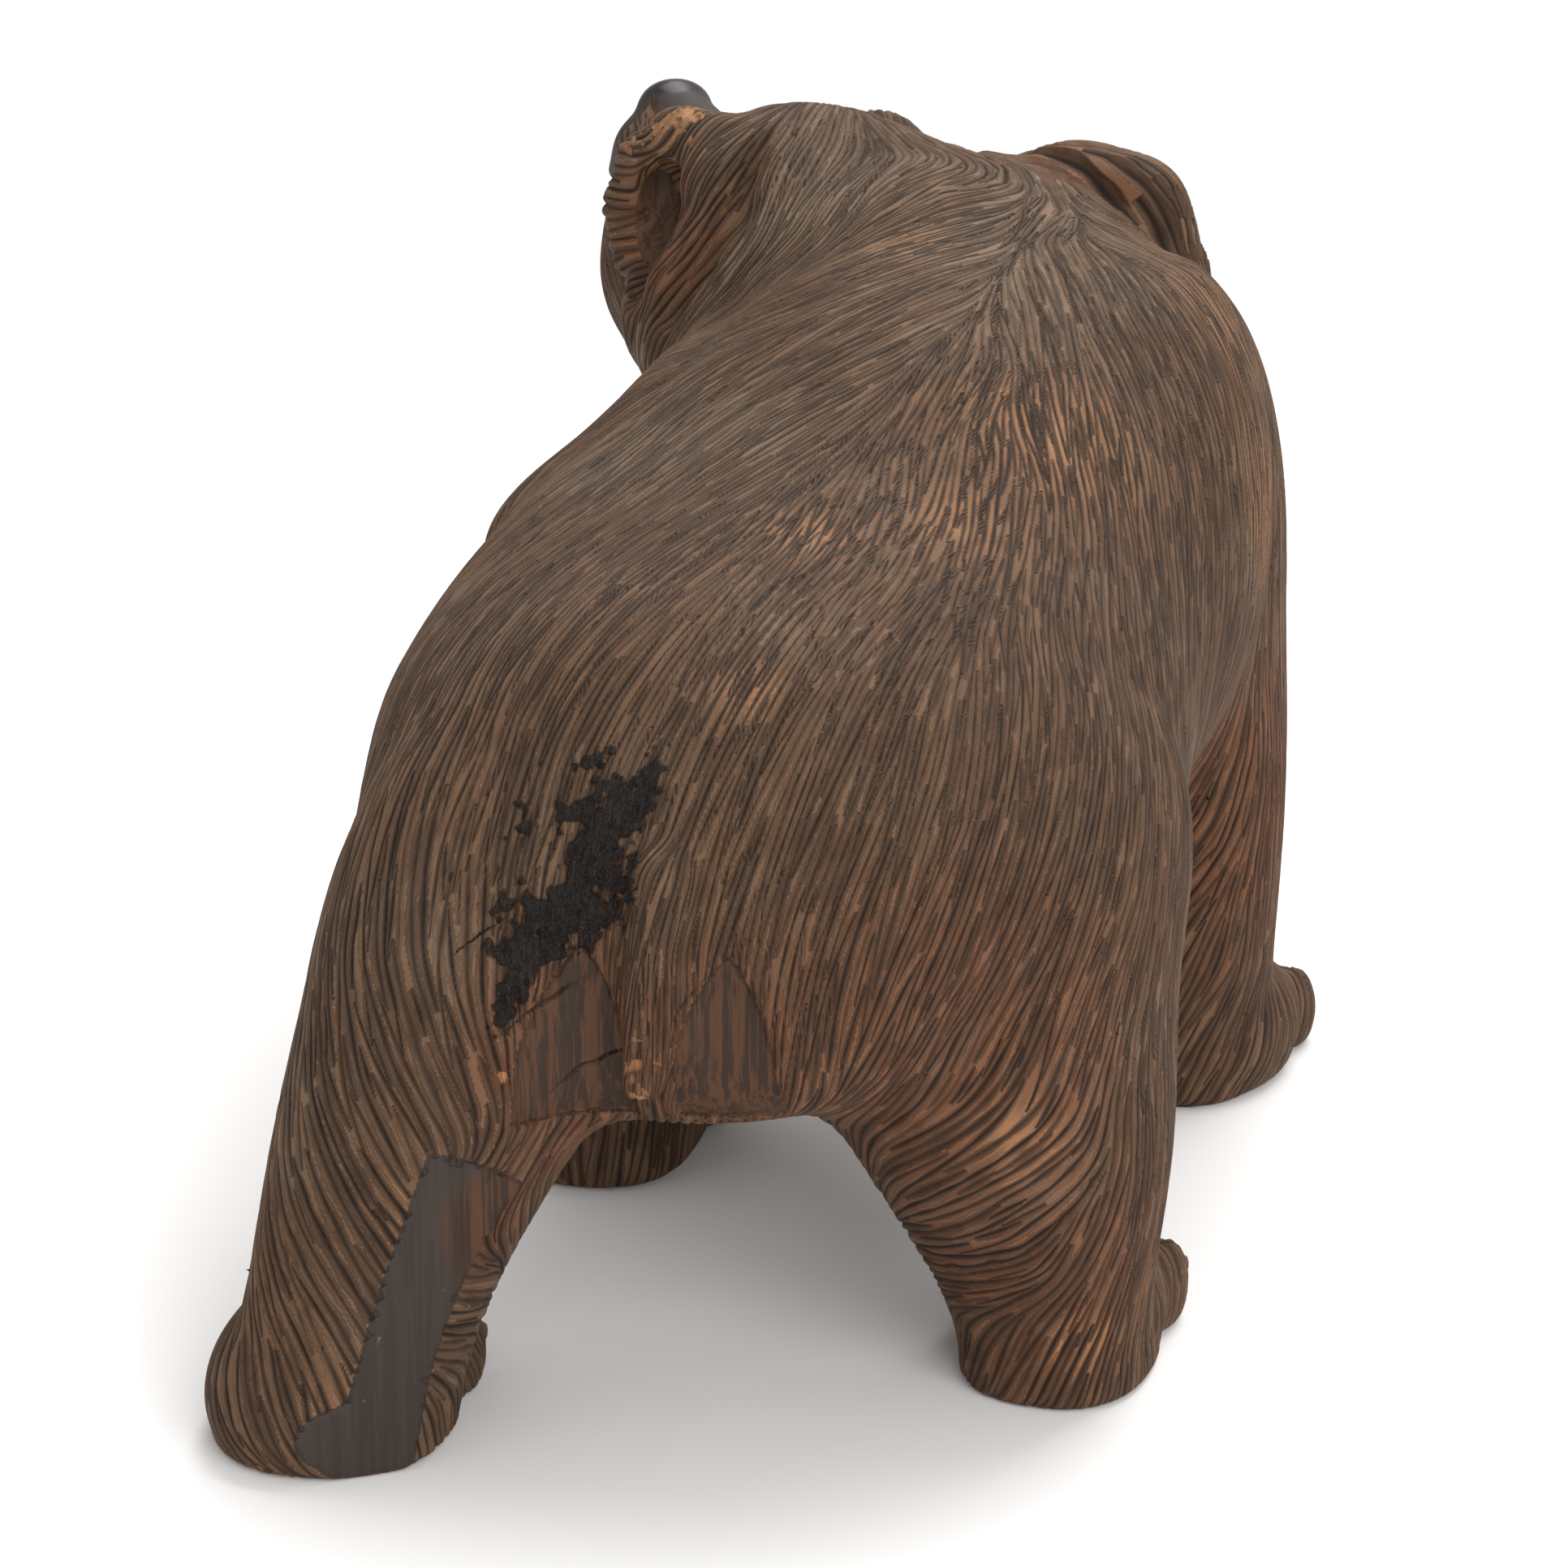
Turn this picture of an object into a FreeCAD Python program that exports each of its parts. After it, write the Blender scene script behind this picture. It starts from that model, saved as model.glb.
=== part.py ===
"""A walking bear carved from one block of wood, with glass bead eyes set on metal shanks.

Millimetres, +Z up. The bear faces -Y, its left side is +X, and it stands on the plane z = 0.
The origin is on that plane, under the middle of the carving's bounding box.
Places on the animal are given as (forward, right, up) in percent of its height at the shoulder
hump, the way a carver lays a figure out from one measure.
"""

import FreeCAD, Part
import math
import os

HUMP_HEIGHT = 190.0          # ground to the top of the shoulder hump
PERCENT = HUMP_HEIGHT / 100  # one percent of that height, in mm

HEAD_TURN = 45.0             # degrees that the head is turned to the bear's left
HEAD_LIFT = 17.0             # degrees that the nose is raised
HEAD_TILT = 7.0              # degrees that the head leans to its own right

EYE_RADIUS = 3.2             # glass bead
SHANK_RADIUS = 0.7           # metal pin that holds a bead
SHANK_LENGTH = 12.0
SHANK_IN_BEAD = 2.0          # how far the pin runs into the glass
SEAT_CLEARANCE = 0.05        # gap round a bead or a pin

RING_POINTS = 12             # points that define one cross-section
TOES = 5

AHEAD = FreeCAD.Vector(0, -1, 0)
SIDEWAYS = FreeCAD.Vector(1, 0, 0)
VERTICAL = FreeCAD.Vector(0, 0, 1)
ORIGIN = FreeCAD.Vector()


def place(forward, right, up):
    """A point on the bear, from percent of the hump height."""
    return FreeCAD.Vector(-right, -forward, up) * PERCENT


def direction(turn_left, lift=0.0):
    """The unit vector that points turn_left degrees left of the bear's axis and lift degrees up."""
    turn, rise = math.radians(turn_left), math.radians(lift)
    return FreeCAD.Vector(math.sin(turn) * math.cos(rise), -math.cos(turn) * math.cos(rise), math.sin(rise))


def ring(centre, across, upward, half_width, half_up, half_down, squareness=2.2):
    """A closed smooth wire round centre: a superellipse whose upper and lower halves may differ."""
    points = []
    for i in range(RING_POINTS):
        turn = 2 * math.pi * i / RING_POINTS
        c, s = math.cos(turn), math.sin(turn)
        sideways = math.copysign(abs(c) ** (2 / squareness), c) * half_width
        upwards = math.copysign(abs(s) ** (2 / squareness), s) * (half_up if s > 0 else half_down)
        points.append(centre + across * (sideways * PERCENT) + upward * (upwards * PERCENT))
    curve = Part.BSplineCurve()
    curve.interpolate(Points=points, PeriodicFlag=True)
    return Part.Wire(curve.toShape())


def skin(rings):
    """A solid lofted through closed wires."""
    return Part.makeLoft(rings, True, False)


def ellipsoid(centre, half_sizes, along=AHEAD):
    """An ellipsoid; half_sizes are (along, sideways, upward) in percent."""
    ball = Part.makeSphere(1.0)
    stretch = FreeCAD.Matrix()
    stretch.scale(*(size * PERCENT for size in half_sizes))
    ball = ball.transformGeometry(stretch)
    lift = math.degrees(math.atan2(along.z, math.hypot(along.x, along.y)))
    heading = math.degrees(math.atan2(along.y, along.x))
    ball.rotate(ORIGIN, FreeCAD.Vector(0, 1, 0), -lift)
    ball.rotate(ORIGIN, VERTICAL, heading)
    ball.translate(centre)
    return ball


def torso():
    """Rump, belly, shoulders and chest: cross-sections from the tail to the chest."""
    stations = (
        # forward, right, up, half width, half height above, half height below
        (-60, 8, 46, 6, 6, 6),
        (-57, 8, 48, 24, 18, 14),
        (-48, 9, 52, 33, 26, 20),
        (-31, 10, 54, 39, 29, 24),
        (-9, 10, 56, 39, 30, 25),
        (14, 9, 61, 37, 32, 28),
        (35, 11, 65, 34, 34, 32),
        (50, 12, 66, 30, 34, 32),
        (64, 12, 65, 22, 31, 27),
        (74, 11, 62, 10, 14, 13),
    )
    return skin([ring(place(f, r, u), SIDEWAYS, VERTICAL, w, a, b) for f, r, u, w, a, b in stations])


def neck():
    """From between the shoulders forward and round to the left, up to the back of the head."""
    stations = (
        # forward, right, up, turn to the left, half width, half height above, half height below
        (36, 14, 68, 15, 28, 30, 24),
        (52, 5, 75, 35, 28, 28, 24),
        (63, -8, 80, 47, 26, 23, 24),
        (71, -20, 83, 50, 21, 18, 21),
    )
    rings = []
    for f, r, u, turn, w, a, b in stations:
        across = direction(turn).cross(VERTICAL)
        rings.append(ring(place(f, r, u), across, VERTICAL, w, a, b))
    return skin(rings)


def mane():
    """The fold of mane that bulges on the right of the neck when the head turns left."""
    return ellipsoid(place(70, 15, 85.5), (8, 14.5, 17))


def tail():
    """A short wedge-shaped tail that hangs against the rump."""
    return ellipsoid(place(-58, 13, 45.5), (4.5, 4.5, 9))


def leg(stations):
    """A leg from level cross-sections, top first: (forward, right, up, half length, half width)."""
    return skin([ring(place(f, r, u), SIDEWAYS, AHEAD, w, n, n, 2.4) for f, r, u, n, w in stations])


def paw(heel_forward, right, length, half_width, height):
    """A flat-soled foot with a row of toes; heel_forward is the back of the heel."""
    middle = heel_forward + length * 0.5
    shapes = [ellipsoid(place(middle, right, height * 0.35), (length * 0.52, half_width, height * 0.75))]
    for i in range(TOES):
        spread = 2 * i / (TOES - 1) - 1
        toe_forward = heel_forward + length * (0.92 - 0.10 * spread ** 2)
        centre = place(toe_forward, right + spread * half_width * 0.76, height * 0.30)
        shapes.append(ellipsoid(centre, (length * 0.17, half_width * 0.24, height * 0.42)))
    return shapes


def legs():
    """Four legs walking at a pace: both right legs are a stride ahead of the left ones."""
    left_hind = ((-36, -5, 74, 6, 6), (-38, -6, 68, 17, 14), (-42, -8, 54, 22, 17),
                 (-50, -10.5, 38, 19, 16), (-58, -14.5, 24, 14.5, 13), (-64, -18, 11, 11.5, 11.5),
                 (-66, -20.5, 0, 12, 12))
    right_hind = ((-22, 26, 78, 8, 8), (-22, 28, 70, 20, 18), (-24, 31, 58, 24, 21.5),
                  (-28, 34, 42, 21, 19.5), (-31, 38.5, 27, 16, 16), (-30, 42, 12, 11.5, 11),
                  (-27, 43, 0, 12, 10))
    left_fore = ((28, -9, 88, 8, 8), (26, -13.5, 80, 19, 16), (23, -16, 67, 24, 19.5),
                 (20, -17.5, 49, 18, 16), (14, -20, 30, 13, 12.5), (8, -21, 12, 11, 11),
                 (6, -21, 0, 11, 11))
    right_fore = ((50, 24, 94, 8, 8), (50, 26.5, 84, 18, 11.5), (50, 29.5, 72, 21, 12),
                  (51, 30.5, 54, 17, 12.5), (51, 31.5, 32, 13.5, 12.5), (50, 32, 12, 11.5, 11.5),
                  (50, 32, 0, 12, 11.5))
    shapes = [leg(stations) for stations in (left_hind, right_hind, left_fore, right_fore)]
    shapes += paw(-79, -21.5, 30, 12, 13)
    shapes += paw(-39, 42.3, 30, 10.2, 13)
    shapes += paw(-5, -21, 29, 11.5, 13)
    shapes += paw(39, 34, 29, 12, 13)
    return shapes


FACING = direction(HEAD_TURN, HEAD_LIFT)
LEVEL_FACING = direction(HEAD_TURN)
HEAD_LEFT = VERTICAL.cross(LEVEL_FACING) * math.cos(math.radians(HEAD_TILT))
HEAD_LEFT += VERTICAL * math.sin(math.radians(HEAD_TILT))
HEAD_UP = FACING.cross(HEAD_LEFT)
SKULL = place(73, -26, 84)


def on_head(ahead, left, above):
    """A point from the middle of the skull, along the head's own axes, in percent."""
    return SKULL + (FACING * ahead + HEAD_LEFT * left + HEAD_UP * above) * PERCENT


def head():
    """Skull, cheeks and muzzle, lofted along the head's own axis, with a brow over each eye."""
    stations = (
        # ahead, above, half width, half height above, half height below
        (-16, 0, 13, 12, 12),
        (-6, 1, 19.5, 16, 19),
        (5, 1, 19, 15, 18.5),
        (12, 0, 15, 11.5, 16.5),
        (18, -1, 10.5, 8.5, 13),
        (24, -1, 8.6, 7.5, 10.5),
        (29, -1, 7.6, 7, 9.5),
        (31.5, -1, 4.8, 4.5, 6.5),
    )
    rings = [ring(on_head(n, 0, u), HEAD_LEFT, HEAD_UP, w, a, b) for n, u, w, a, b in stations]
    shapes = [skin(rings)]
    for side in (1, -1):
        shapes.append(ellipsoid(on_head(12.5, side * 7, 8), (5, 4.5, 3), FACING))
    shapes.append(ellipsoid(on_head(30, 0, 3.6), (2.8, 3.8, 2.6), FACING))
    return shapes


def ear(side):
    """A thick cupped ear; side is +1 for the bear's left ear and -1 for its right."""
    root = SKULL + (LEVEL_FACING * -3 + HEAD_LEFT * (side * 10.8) + VERTICAL * 9) * PERCENT
    lobe = ellipsoid(root, (5, 8.8, 11), LEVEL_FACING)
    hollow = ellipsoid(root + (LEVEL_FACING * 4.6 + VERTICAL * 0.8) * PERCENT, (4.0, 6.0, 7.5), LEVEL_FACING)
    return lobe.cut(hollow)


def eye_seat(side):
    """The bead's centre on one side of the head, and the outward direction of its shank."""
    centre = on_head(15.2, side * 9.6, 4.6)
    outward = (FACING * 0.55 + HEAD_LEFT * (side * 0.8) + HEAD_UP * 0.25).normalize()
    return centre, outward


def eye_bead(side):
    """A glass bead, drilled at the back for its shank."""
    centre, outward = eye_seat(side)
    bead = Part.makeSphere(EYE_RADIUS, centre)
    depth = SHANK_IN_BEAD + SEAT_CLEARANCE
    start = centre - outward * EYE_RADIUS * 1.2
    drill = Part.makeCylinder(SHANK_RADIUS + SEAT_CLEARANCE, EYE_RADIUS * 0.2 + depth, start, outward)
    return bead.cut(drill)


def eye_pin(side):
    """The straight metal shank that runs from inside the bead into the wood, with a domed end."""
    centre, outward = eye_seat(side)
    start = centre + outward * (SHANK_IN_BEAD - EYE_RADIUS - SHANK_LENGTH)
    shank = Part.makeCylinder(SHANK_RADIUS, SHANK_LENGTH, start, outward)
    return shank.fuse(Part.makeSphere(SHANK_RADIUS, start))


def eye_socket(side):
    """What is cut from the wood for one eye: a round seat and a drilled hole for the shank."""
    centre, outward = eye_seat(side)
    seat = Part.makeSphere(EYE_RADIUS + SEAT_CLEARANCE, centre)
    length = SHANK_LENGTH + EYE_RADIUS
    hole = Part.makeCylinder(SHANK_RADIUS + SEAT_CLEARANCE, length, centre - outward * length, outward)
    return seat.fuse(hole)


def carved_body():
    """The whole animal as one piece of wood, flat under its feet and drilled for its eyes."""
    shapes = [torso(), neck(), mane(), tail(), ear(1), ear(-1)] + legs() + head()
    wood = shapes[0].fuse(shapes[1:])
    wood = wood.cut([eye_socket(1), eye_socket(-1)])
    reach = 3 * HUMP_HEIGHT
    below = Part.makeBox(2 * reach, 2 * reach, reach, FreeCAD.Vector(-reach, -reach, -reach))
    return wood.cut(below)


def main():
    nodes = {
        "carved_body": carved_body(),
        "left_eye_bead": eye_bead(1),
        "right_eye_bead": eye_bead(-1),
        "left_eye_pin": eye_pin(1),
        "right_eye_pin": eye_pin(-1),
    }
    box = nodes["carved_body"].optimalBoundingBox()
    to_origin = FreeCAD.Vector(-box.Center.x, -box.Center.y, 0)
    os.makedirs("parts", exist_ok=True)
    for name, shape in nodes.items():
        shape.translate(to_origin)
        shape.exportStep(f"parts/{name}.step")
        print(name, "valid", shape.isValid(), "solids", len(shape.Solids), "moved", to_origin)


main()
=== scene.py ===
"""A walking bear carved from one block of dark wood, seen from behind with its head turned left.

The carving is sculpted as a distance field that starts from the CAD body, then every gouge of
its fur is cut into a fine mesh along combed lines. Lengths inside the sculpting are millimetres,
and places on the animal are (forward, right, up) in percent of its height at the shoulder hump.
"""

import math

import bpy
import numpy as np
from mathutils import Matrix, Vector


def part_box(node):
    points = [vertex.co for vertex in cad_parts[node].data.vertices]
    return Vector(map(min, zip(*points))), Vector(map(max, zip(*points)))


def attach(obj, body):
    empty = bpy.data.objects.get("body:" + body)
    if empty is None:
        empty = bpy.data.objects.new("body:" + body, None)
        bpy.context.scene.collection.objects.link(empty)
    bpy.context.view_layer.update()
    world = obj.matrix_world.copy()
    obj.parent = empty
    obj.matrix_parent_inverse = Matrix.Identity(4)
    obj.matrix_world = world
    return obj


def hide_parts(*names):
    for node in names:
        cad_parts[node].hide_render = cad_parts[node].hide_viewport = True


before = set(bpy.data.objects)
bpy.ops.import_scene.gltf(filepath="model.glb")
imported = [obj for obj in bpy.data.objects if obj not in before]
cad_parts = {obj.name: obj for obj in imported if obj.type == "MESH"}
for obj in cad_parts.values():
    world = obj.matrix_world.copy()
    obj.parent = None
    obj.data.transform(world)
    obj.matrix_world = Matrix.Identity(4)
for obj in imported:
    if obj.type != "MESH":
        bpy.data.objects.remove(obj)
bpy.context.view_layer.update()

import openvdb as vdb
from mathutils import Vector

MM = 0.001                     # metres in a millimetre

# The animal's own measure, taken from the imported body's box.
NOSE_TO_HEEL = 178.17          # length of the body box, in percent of the hump height
REAR_HEEL = -79.6              # forward place of the box's rear face
LEFT_SIDE = -52.3              # right place of the box's left face
BODY_LOW, BODY_HIGH = (np.array(corner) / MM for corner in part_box("carved_body"))
PERCENT = (BODY_HIGH[1] - BODY_LOW[1]) / NOSE_TO_HEEL

HEAD_TURN = 45.0               # degrees to the bear's left
HEAD_LIFT = 17.0
HEAD_TILT = 7.0

VOXEL = 1.1                    # spacing of the distance field
MARGIN = 12.0                  # free space round the body inside the field
SEED = 11
GOLDEN = 0.61803               # share that spreads counted things evenly


def place(forward, right, up):
    """A point on the bear in millimetres, from percent of the hump height."""
    x = BODY_HIGH[0] - (right - LEFT_SIDE) * PERCENT
    y = BODY_HIGH[1] - (forward - REAR_HEEL) * PERCENT
    return np.array([x, y, up * PERCENT])


def unit(vector):
    return np.asarray(vector, float) / np.linalg.norm(vector)


def heading(turn_left, lift=0.0):
    """The direction that points turn_left degrees left of the bear's axis and lift degrees up."""
    turn, rise = math.radians(turn_left), math.radians(lift)
    return np.array([math.sin(turn) * math.cos(rise), -math.cos(turn) * math.cos(rise), math.sin(rise)])


UP = np.array([0.0, 0.0, 1.0])
FACING = heading(HEAD_TURN, HEAD_LIFT)
LEVEL_FACING = heading(HEAD_TURN)
HEAD_LEFT = np.cross(UP, LEVEL_FACING) * math.cos(math.radians(HEAD_TILT)) \
    + UP * math.sin(math.radians(HEAD_TILT))
HEAD_UP = np.cross(FACING, HEAD_LEFT)
SKULL = place(73, -26, 84)


def on_head(ahead, left, above):
    """A point from the middle of the skull, along the head's own axes, in percent."""
    return SKULL + (FACING * ahead + HEAD_LEFT * left + HEAD_UP * above) * PERCENT


# ---------------------------------------------------------------- distance field

def unit_rows(vectors):
    return vectors / np.maximum(np.linalg.norm(vectors, axis=-1, keepdims=True), 1e-6)


def interpolate(values, start, voxel, points):
    """Values of a regular grid at any points, mixed from the eight samples round each."""
    size = np.array(values.shape[:3])
    flat = values.reshape(int(np.prod(size)), -1)
    where = np.asarray(points, np.float32) / np.float32(voxel) - start.astype(np.float32)
    base = np.clip(np.floor(where).astype(np.int64), 0, size - 2)
    part = where - base.astype(np.float32)
    first = (base[:, 0] * size[1] + base[:, 1]) * size[2] + base[:, 2]
    total = np.zeros((len(points), flat.shape[1]), np.float32)
    for corner in range(8):
        step = np.array([corner & 1, corner >> 1 & 1, corner >> 2 & 1])
        weight = np.prod(np.where(step, part, 1 - part), axis=1)
        total += weight[:, None] * flat[first + int((step[0] * size[1] + step[1]) * size[2] + step[2])]
    return total if values.ndim > 3 else total[:, 0]


def grid_axes(start, size, voxel):
    """The places of a grid's samples along each axis."""
    return [(np.arange(n) + s) * voxel for n, s in zip(size, start)]


class Field:
    """A signed distance field on a regular grid, in millimetres, negative inside the wood."""

    def __init__(self, low, high, voxel):
        self.voxel = voxel
        self.start = np.floor(np.asarray(low) / voxel).astype(int)
        self.size = np.ceil(np.asarray(high) / voxel).astype(int) - self.start + 1
        self.values = np.full(self.size, MARGIN, np.float32)
        self.gradient = None

    def transform(self):
        return vdb.createLinearTransform(self.voxel)

    def from_mesh(self, points, triangles=None, quads=None, reach=MARGIN):
        """Fills the grid with the distance to a closed mesh, up to reach."""
        grid = vdb.FloatGrid.createLevelSetFromPolygons(
            np.ascontiguousarray(points, np.float32), triangles=triangles, quads=quads,
            transform=self.transform(), halfWidth=reach / self.voxel)
        grid.copyToArray(self.values, ijk=tuple(int(i) for i in self.start))
        return self

    def to_mesh(self, level=0.0):
        """The surface where the distance is level, as points, triangles and quads."""
        grid = vdb.FloatGrid(float(self.values.max()))
        grid.copyFromArray(self.values, ijk=tuple(int(i) for i in self.start))
        grid.transform = self.transform()
        points, first, second = grid.convertToPolygons(isovalue=level, adaptivity=0)
        triangles = first if first.shape[1] == 3 else second
        quads = second if second.shape[1] == 4 else first
        return points, triangles, quads

    def window(self, centre, reach):
        """Slices of the grid round a point, and the place of every sample in them."""
        low = np.clip(np.floor((centre - reach) / self.voxel).astype(int) - self.start, 0, self.size)
        high = np.clip(np.ceil((centre + reach) / self.voxel).astype(int) - self.start, 0, self.size)
        slices = tuple(slice(a, b) for a, b in zip(low, high))
        axes = grid_axes(self.start + low, high - low, self.voxel)
        return slices, np.stack(np.meshgrid(*axes, indexing="ij"), -1).astype(np.float32)

    def add(self, shape, blend=1.0):
        """Joins a shape on, with a fillet about blend millimetres wide."""
        slices, points = self.window(shape.centre, shape.reach + blend)
        self.values[slices] = smooth_min(self.values[slices], shape.distance(points), blend)
        self.gradient = None

    def cut(self, shape, blend=1.0):
        """Cuts a shape away, with a rounded edge about blend millimetres wide."""
        slices, points = self.window(shape.centre, shape.reach + blend)
        self.values[slices] = -smooth_min(-self.values[slices], shape.distance(points), blend)
        self.gradient = None

    def sink(self, shape, depth):
        """Lowers the surface inside a shape by an even depth, with a steep edge round it."""
        slices, points = self.window(shape.centre, shape.reach)
        inside = 1 - smooth_step(shape.distance(points), -0.8, 0.4)
        self.values[slices] += (depth * inside).astype(np.float32)
        self.gradient = None

    def blur(self, passes):
        """Smooths the field a little, three samples at a time along each axis."""
        for _ in range(passes):
            for axis in range(3):
                before, after = np.roll(self.values, 1, axis), np.roll(self.values, -1, axis)
                self.values = (before + 2 * self.values + after) * 0.25
        self.gradient = None

    def sample(self, points):
        """The distance at any points."""
        return interpolate(self.values, self.start, self.voxel, points)

    def slope(self, points):
        """The outward normal at any points."""
        if self.gradient is None:
            self.gradient = np.stack(np.gradient(self.values), -1)
        return unit_rows(interpolate(self.gradient, self.start, self.voxel, points))

    def settle(self, points, rounds=2):
        """Moves points onto the surface."""
        for _ in range(rounds):
            points = points - self.slope(points) * self.sample(points)[:, None]
        return points

    def on_surface(self, *points):
        """Rough places pushed straight onto the surface."""
        return self.settle(np.array(points, float), 5)


def smooth_min(a, b, width):
    overlap = np.maximum(width - np.abs(a - b), 0) / width
    return np.minimum(a, b) - overlap * overlap * width * 0.25


def smooth_step(value, low, high):
    t = np.clip((value - low) / (high - low), 0, 1)
    return t * t * (3 - 2 * t)


class Ball:
    """An ellipsoid, or a boxier round with a power over 2; sizes are half lengths in mm."""

    def __init__(self, centre, sizes, along=(0, -1, 0), roll_up=(0, 0, 1), power=2.0):
        self.power = power
        self.centre = np.asarray(centre, float)
        self.sizes = np.asarray(sizes, float)
        self.reach = float(self.sizes.max())
        ahead = unit(along)
        side = unit(np.cross(roll_up, ahead))
        self.axes = np.stack([ahead, side, np.cross(ahead, side)], 1)

    def distance(self, points):
        share = np.abs((points - self.centre) @ self.axes) / self.sizes
        near = np.sum(share ** self.power, axis=-1) ** (1 / self.power)
        steep = np.linalg.norm(share ** (self.power - 1) / self.sizes, axis=-1)
        return near ** (self.power - 1) * (near - 1) / np.maximum(steep, 1e-6)


class Rod:
    """A round bar that tapers from one end to the other."""

    def __init__(self, start, end, start_radius, end_radius):
        self.start, self.end = np.asarray(start, float), np.asarray(end, float)
        self.radii = start_radius, end_radius
        self.centre = (self.start + self.end) / 2
        self.reach = np.linalg.norm(self.end - self.start) / 2 + max(self.radii)

    def distance(self, points):
        axis = self.end - self.start
        along = np.clip((points - self.start) @ axis / (axis @ axis), 0, 1)
        nearest = self.start + along[..., None] * axis
        radius = self.radii[0] + (self.radii[1] - self.radii[0]) * along
        return np.linalg.norm(points - nearest, axis=-1) - radius


class Slab:
    """Everything on the outer side of a plane, inside a ball of the given reach."""

    def __init__(self, centre, outward, reach):
        self.centre = np.asarray(centre, float)
        self.outward = unit(outward)
        self.reach = reach

    def distance(self, points):
        below = -(points - self.centre) @ self.outward
        outside = np.linalg.norm(points - self.centre, axis=-1) - self.reach
        return np.maximum(below, outside)


class PointedArch:
    """A pointed arch with a ragged edge, seen from straight behind, reaching through the surface."""

    DEPTH = 9.0        # how far it reaches to either side of the surface
    TOOTH = 1.7        # height of one tooth of its edge

    def __init__(self, foot, half_width, height):
        self.foot = np.asarray(foot, float)
        self.half_width, self.height = half_width, height
        self.centre = self.foot + UP * (height / 2)
        self.reach = max(self.DEPTH, half_width, height / 2) * 1.3

    def distance(self, points):
        local = points - self.foot
        rise = np.clip(local[..., 2] / self.height, 0, 1)
        teeth = 0.5 * np.abs(local[..., 2] / self.TOOTH % 1 - 0.5)
        sides = np.abs(local[..., 0]) - self.half_width * (1 - rise ** 3) + teeth
        ends = np.maximum(local[..., 2] - self.height, -local[..., 2])
        return np.maximum(np.maximum(sides, ends), np.abs(local[..., 1]) - self.DEPTH)


def rods(field, path, radii, blend=1.0, cutting=False):
    """Adds or cuts a bent bar through several points."""
    for a, b, ra, rb in zip(path, path[1:], radii, radii[1:]):
        (field.cut if cutting else field.add)(Rod(a, b, ra, rb), blend)


# ---------------------------------------------------------------- sculpting

def cad_mesh(node):
    """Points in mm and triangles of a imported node."""
    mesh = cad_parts[node].data
    mesh.calc_loop_triangles()
    points = np.empty(len(mesh.vertices) * 3, np.float32)
    mesh.vertices.foreach_get("co", points)
    corners = np.empty(len(mesh.loop_triangles) * 3, np.int32)
    mesh.loop_triangles.foreach_get("vertices", corners)
    return points.reshape(-1, 3) / MM, corners.reshape(-1, 3).astype(np.uint32)


CREASE_ROUND = 13.0            # creases between muscles are filled to this radius
HEAD_KEPT = 44, 74             # distance from the skull over which the filling sets in
FEET_KEPT = 16, 40             # height over which it sets in


def filled_creases(points, triangles, radius, voxel=2.2):
    """The CAD body with every crease filled to a round of the given radius, as a mesh."""
    room, reach = radius * 2.5, radius + 4 * voxel
    low, high = BODY_LOW - room, BODY_HIGH + room
    swollen = Field(low, high, voxel).from_mesh(points, triangles=triangles, reach=reach)
    points, triangles, quads = swollen.to_mesh(radius)
    shrunk = Field(low, high, voxel).from_mesh(points, triangles=triangles, quads=quads, reach=reach)
    return shrunk.to_mesh(-radius)


def rough_block():
    """The CAD body with its muscles flowing into one another, away from the head and feet."""
    points, triangles = cad_mesh("carved_body")
    low, high = BODY_LOW - MARGIN, BODY_HIGH + MARGIN
    field = Field(low, high, VOXEL).from_mesh(points, triangles=triangles)
    points, triangles, quads = filled_creases(points, triangles, CREASE_ROUND)
    filled = Field(low, high, VOXEL).from_mesh(points, triangles=triangles, quads=quads)
    whole = field.size.max() * VOXEL
    _, samples = field.window((low + high) / 2, whole)
    head_distance = np.linalg.norm(samples - (SKULL + FACING * 6), axis=-1)
    share = smooth_step(head_distance, *HEAD_KEPT) * smooth_step(samples[..., 2], *FEET_KEPT)
    field.values += (filled.values - field.values) * share
    return field


def swell(field, centre, sizes, amount):
    """Moves the surface outward by up to amount millimetres round a place."""
    ball = Ball(centre, np.asarray(sizes) * PERCENT)
    slices, points = field.window(centre, ball.reach * 1.5)
    nearness = np.linalg.norm((points - ball.centre) @ ball.axes / ball.sizes, axis=-1)
    field.values[slices] -= (amount * (1 - smooth_step(nearness, 0.2, 1.5))).astype(np.float32)


# Muscle that the plain CAD sections leave out, and two hollows: centre, half sizes in percent, and
# how far the surface moves out.
MUSCLES = (
    ((-14, -24, 68), (24, 16, 16), 5.0), ((0, -28, 73), (20, 12, 12), 3.0),      # left flank
    ((-56, -20, 42), (16, 16, 24), 3.2), ((-64, -22, 22), (14, 12, 16), 2.6),    # left haunch
    ((42, 38, 88), (18, 12, 16), 3.2),                                           # right shoulder
    ((24, -31, 80), (15, 10, 12), -6.6), ((47, -33, 82), (10, 8, 10), 4.5),      # left shoulder
    ((60, -42, 82), (10, 9, 14), -5.0),                                          # left cheek
)


def fill_out(field):
    for centre, sizes, amount in MUSCLES:
        swell(field, place(*centre), sizes, amount)


def head_ball(place_on_head, sizes):
    """An ellipsoid lined up with the head; place and half sizes in percent."""
    return Ball(on_head(*place_on_head), np.array(sizes) * PERCENT, FACING, HEAD_UP)


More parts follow.
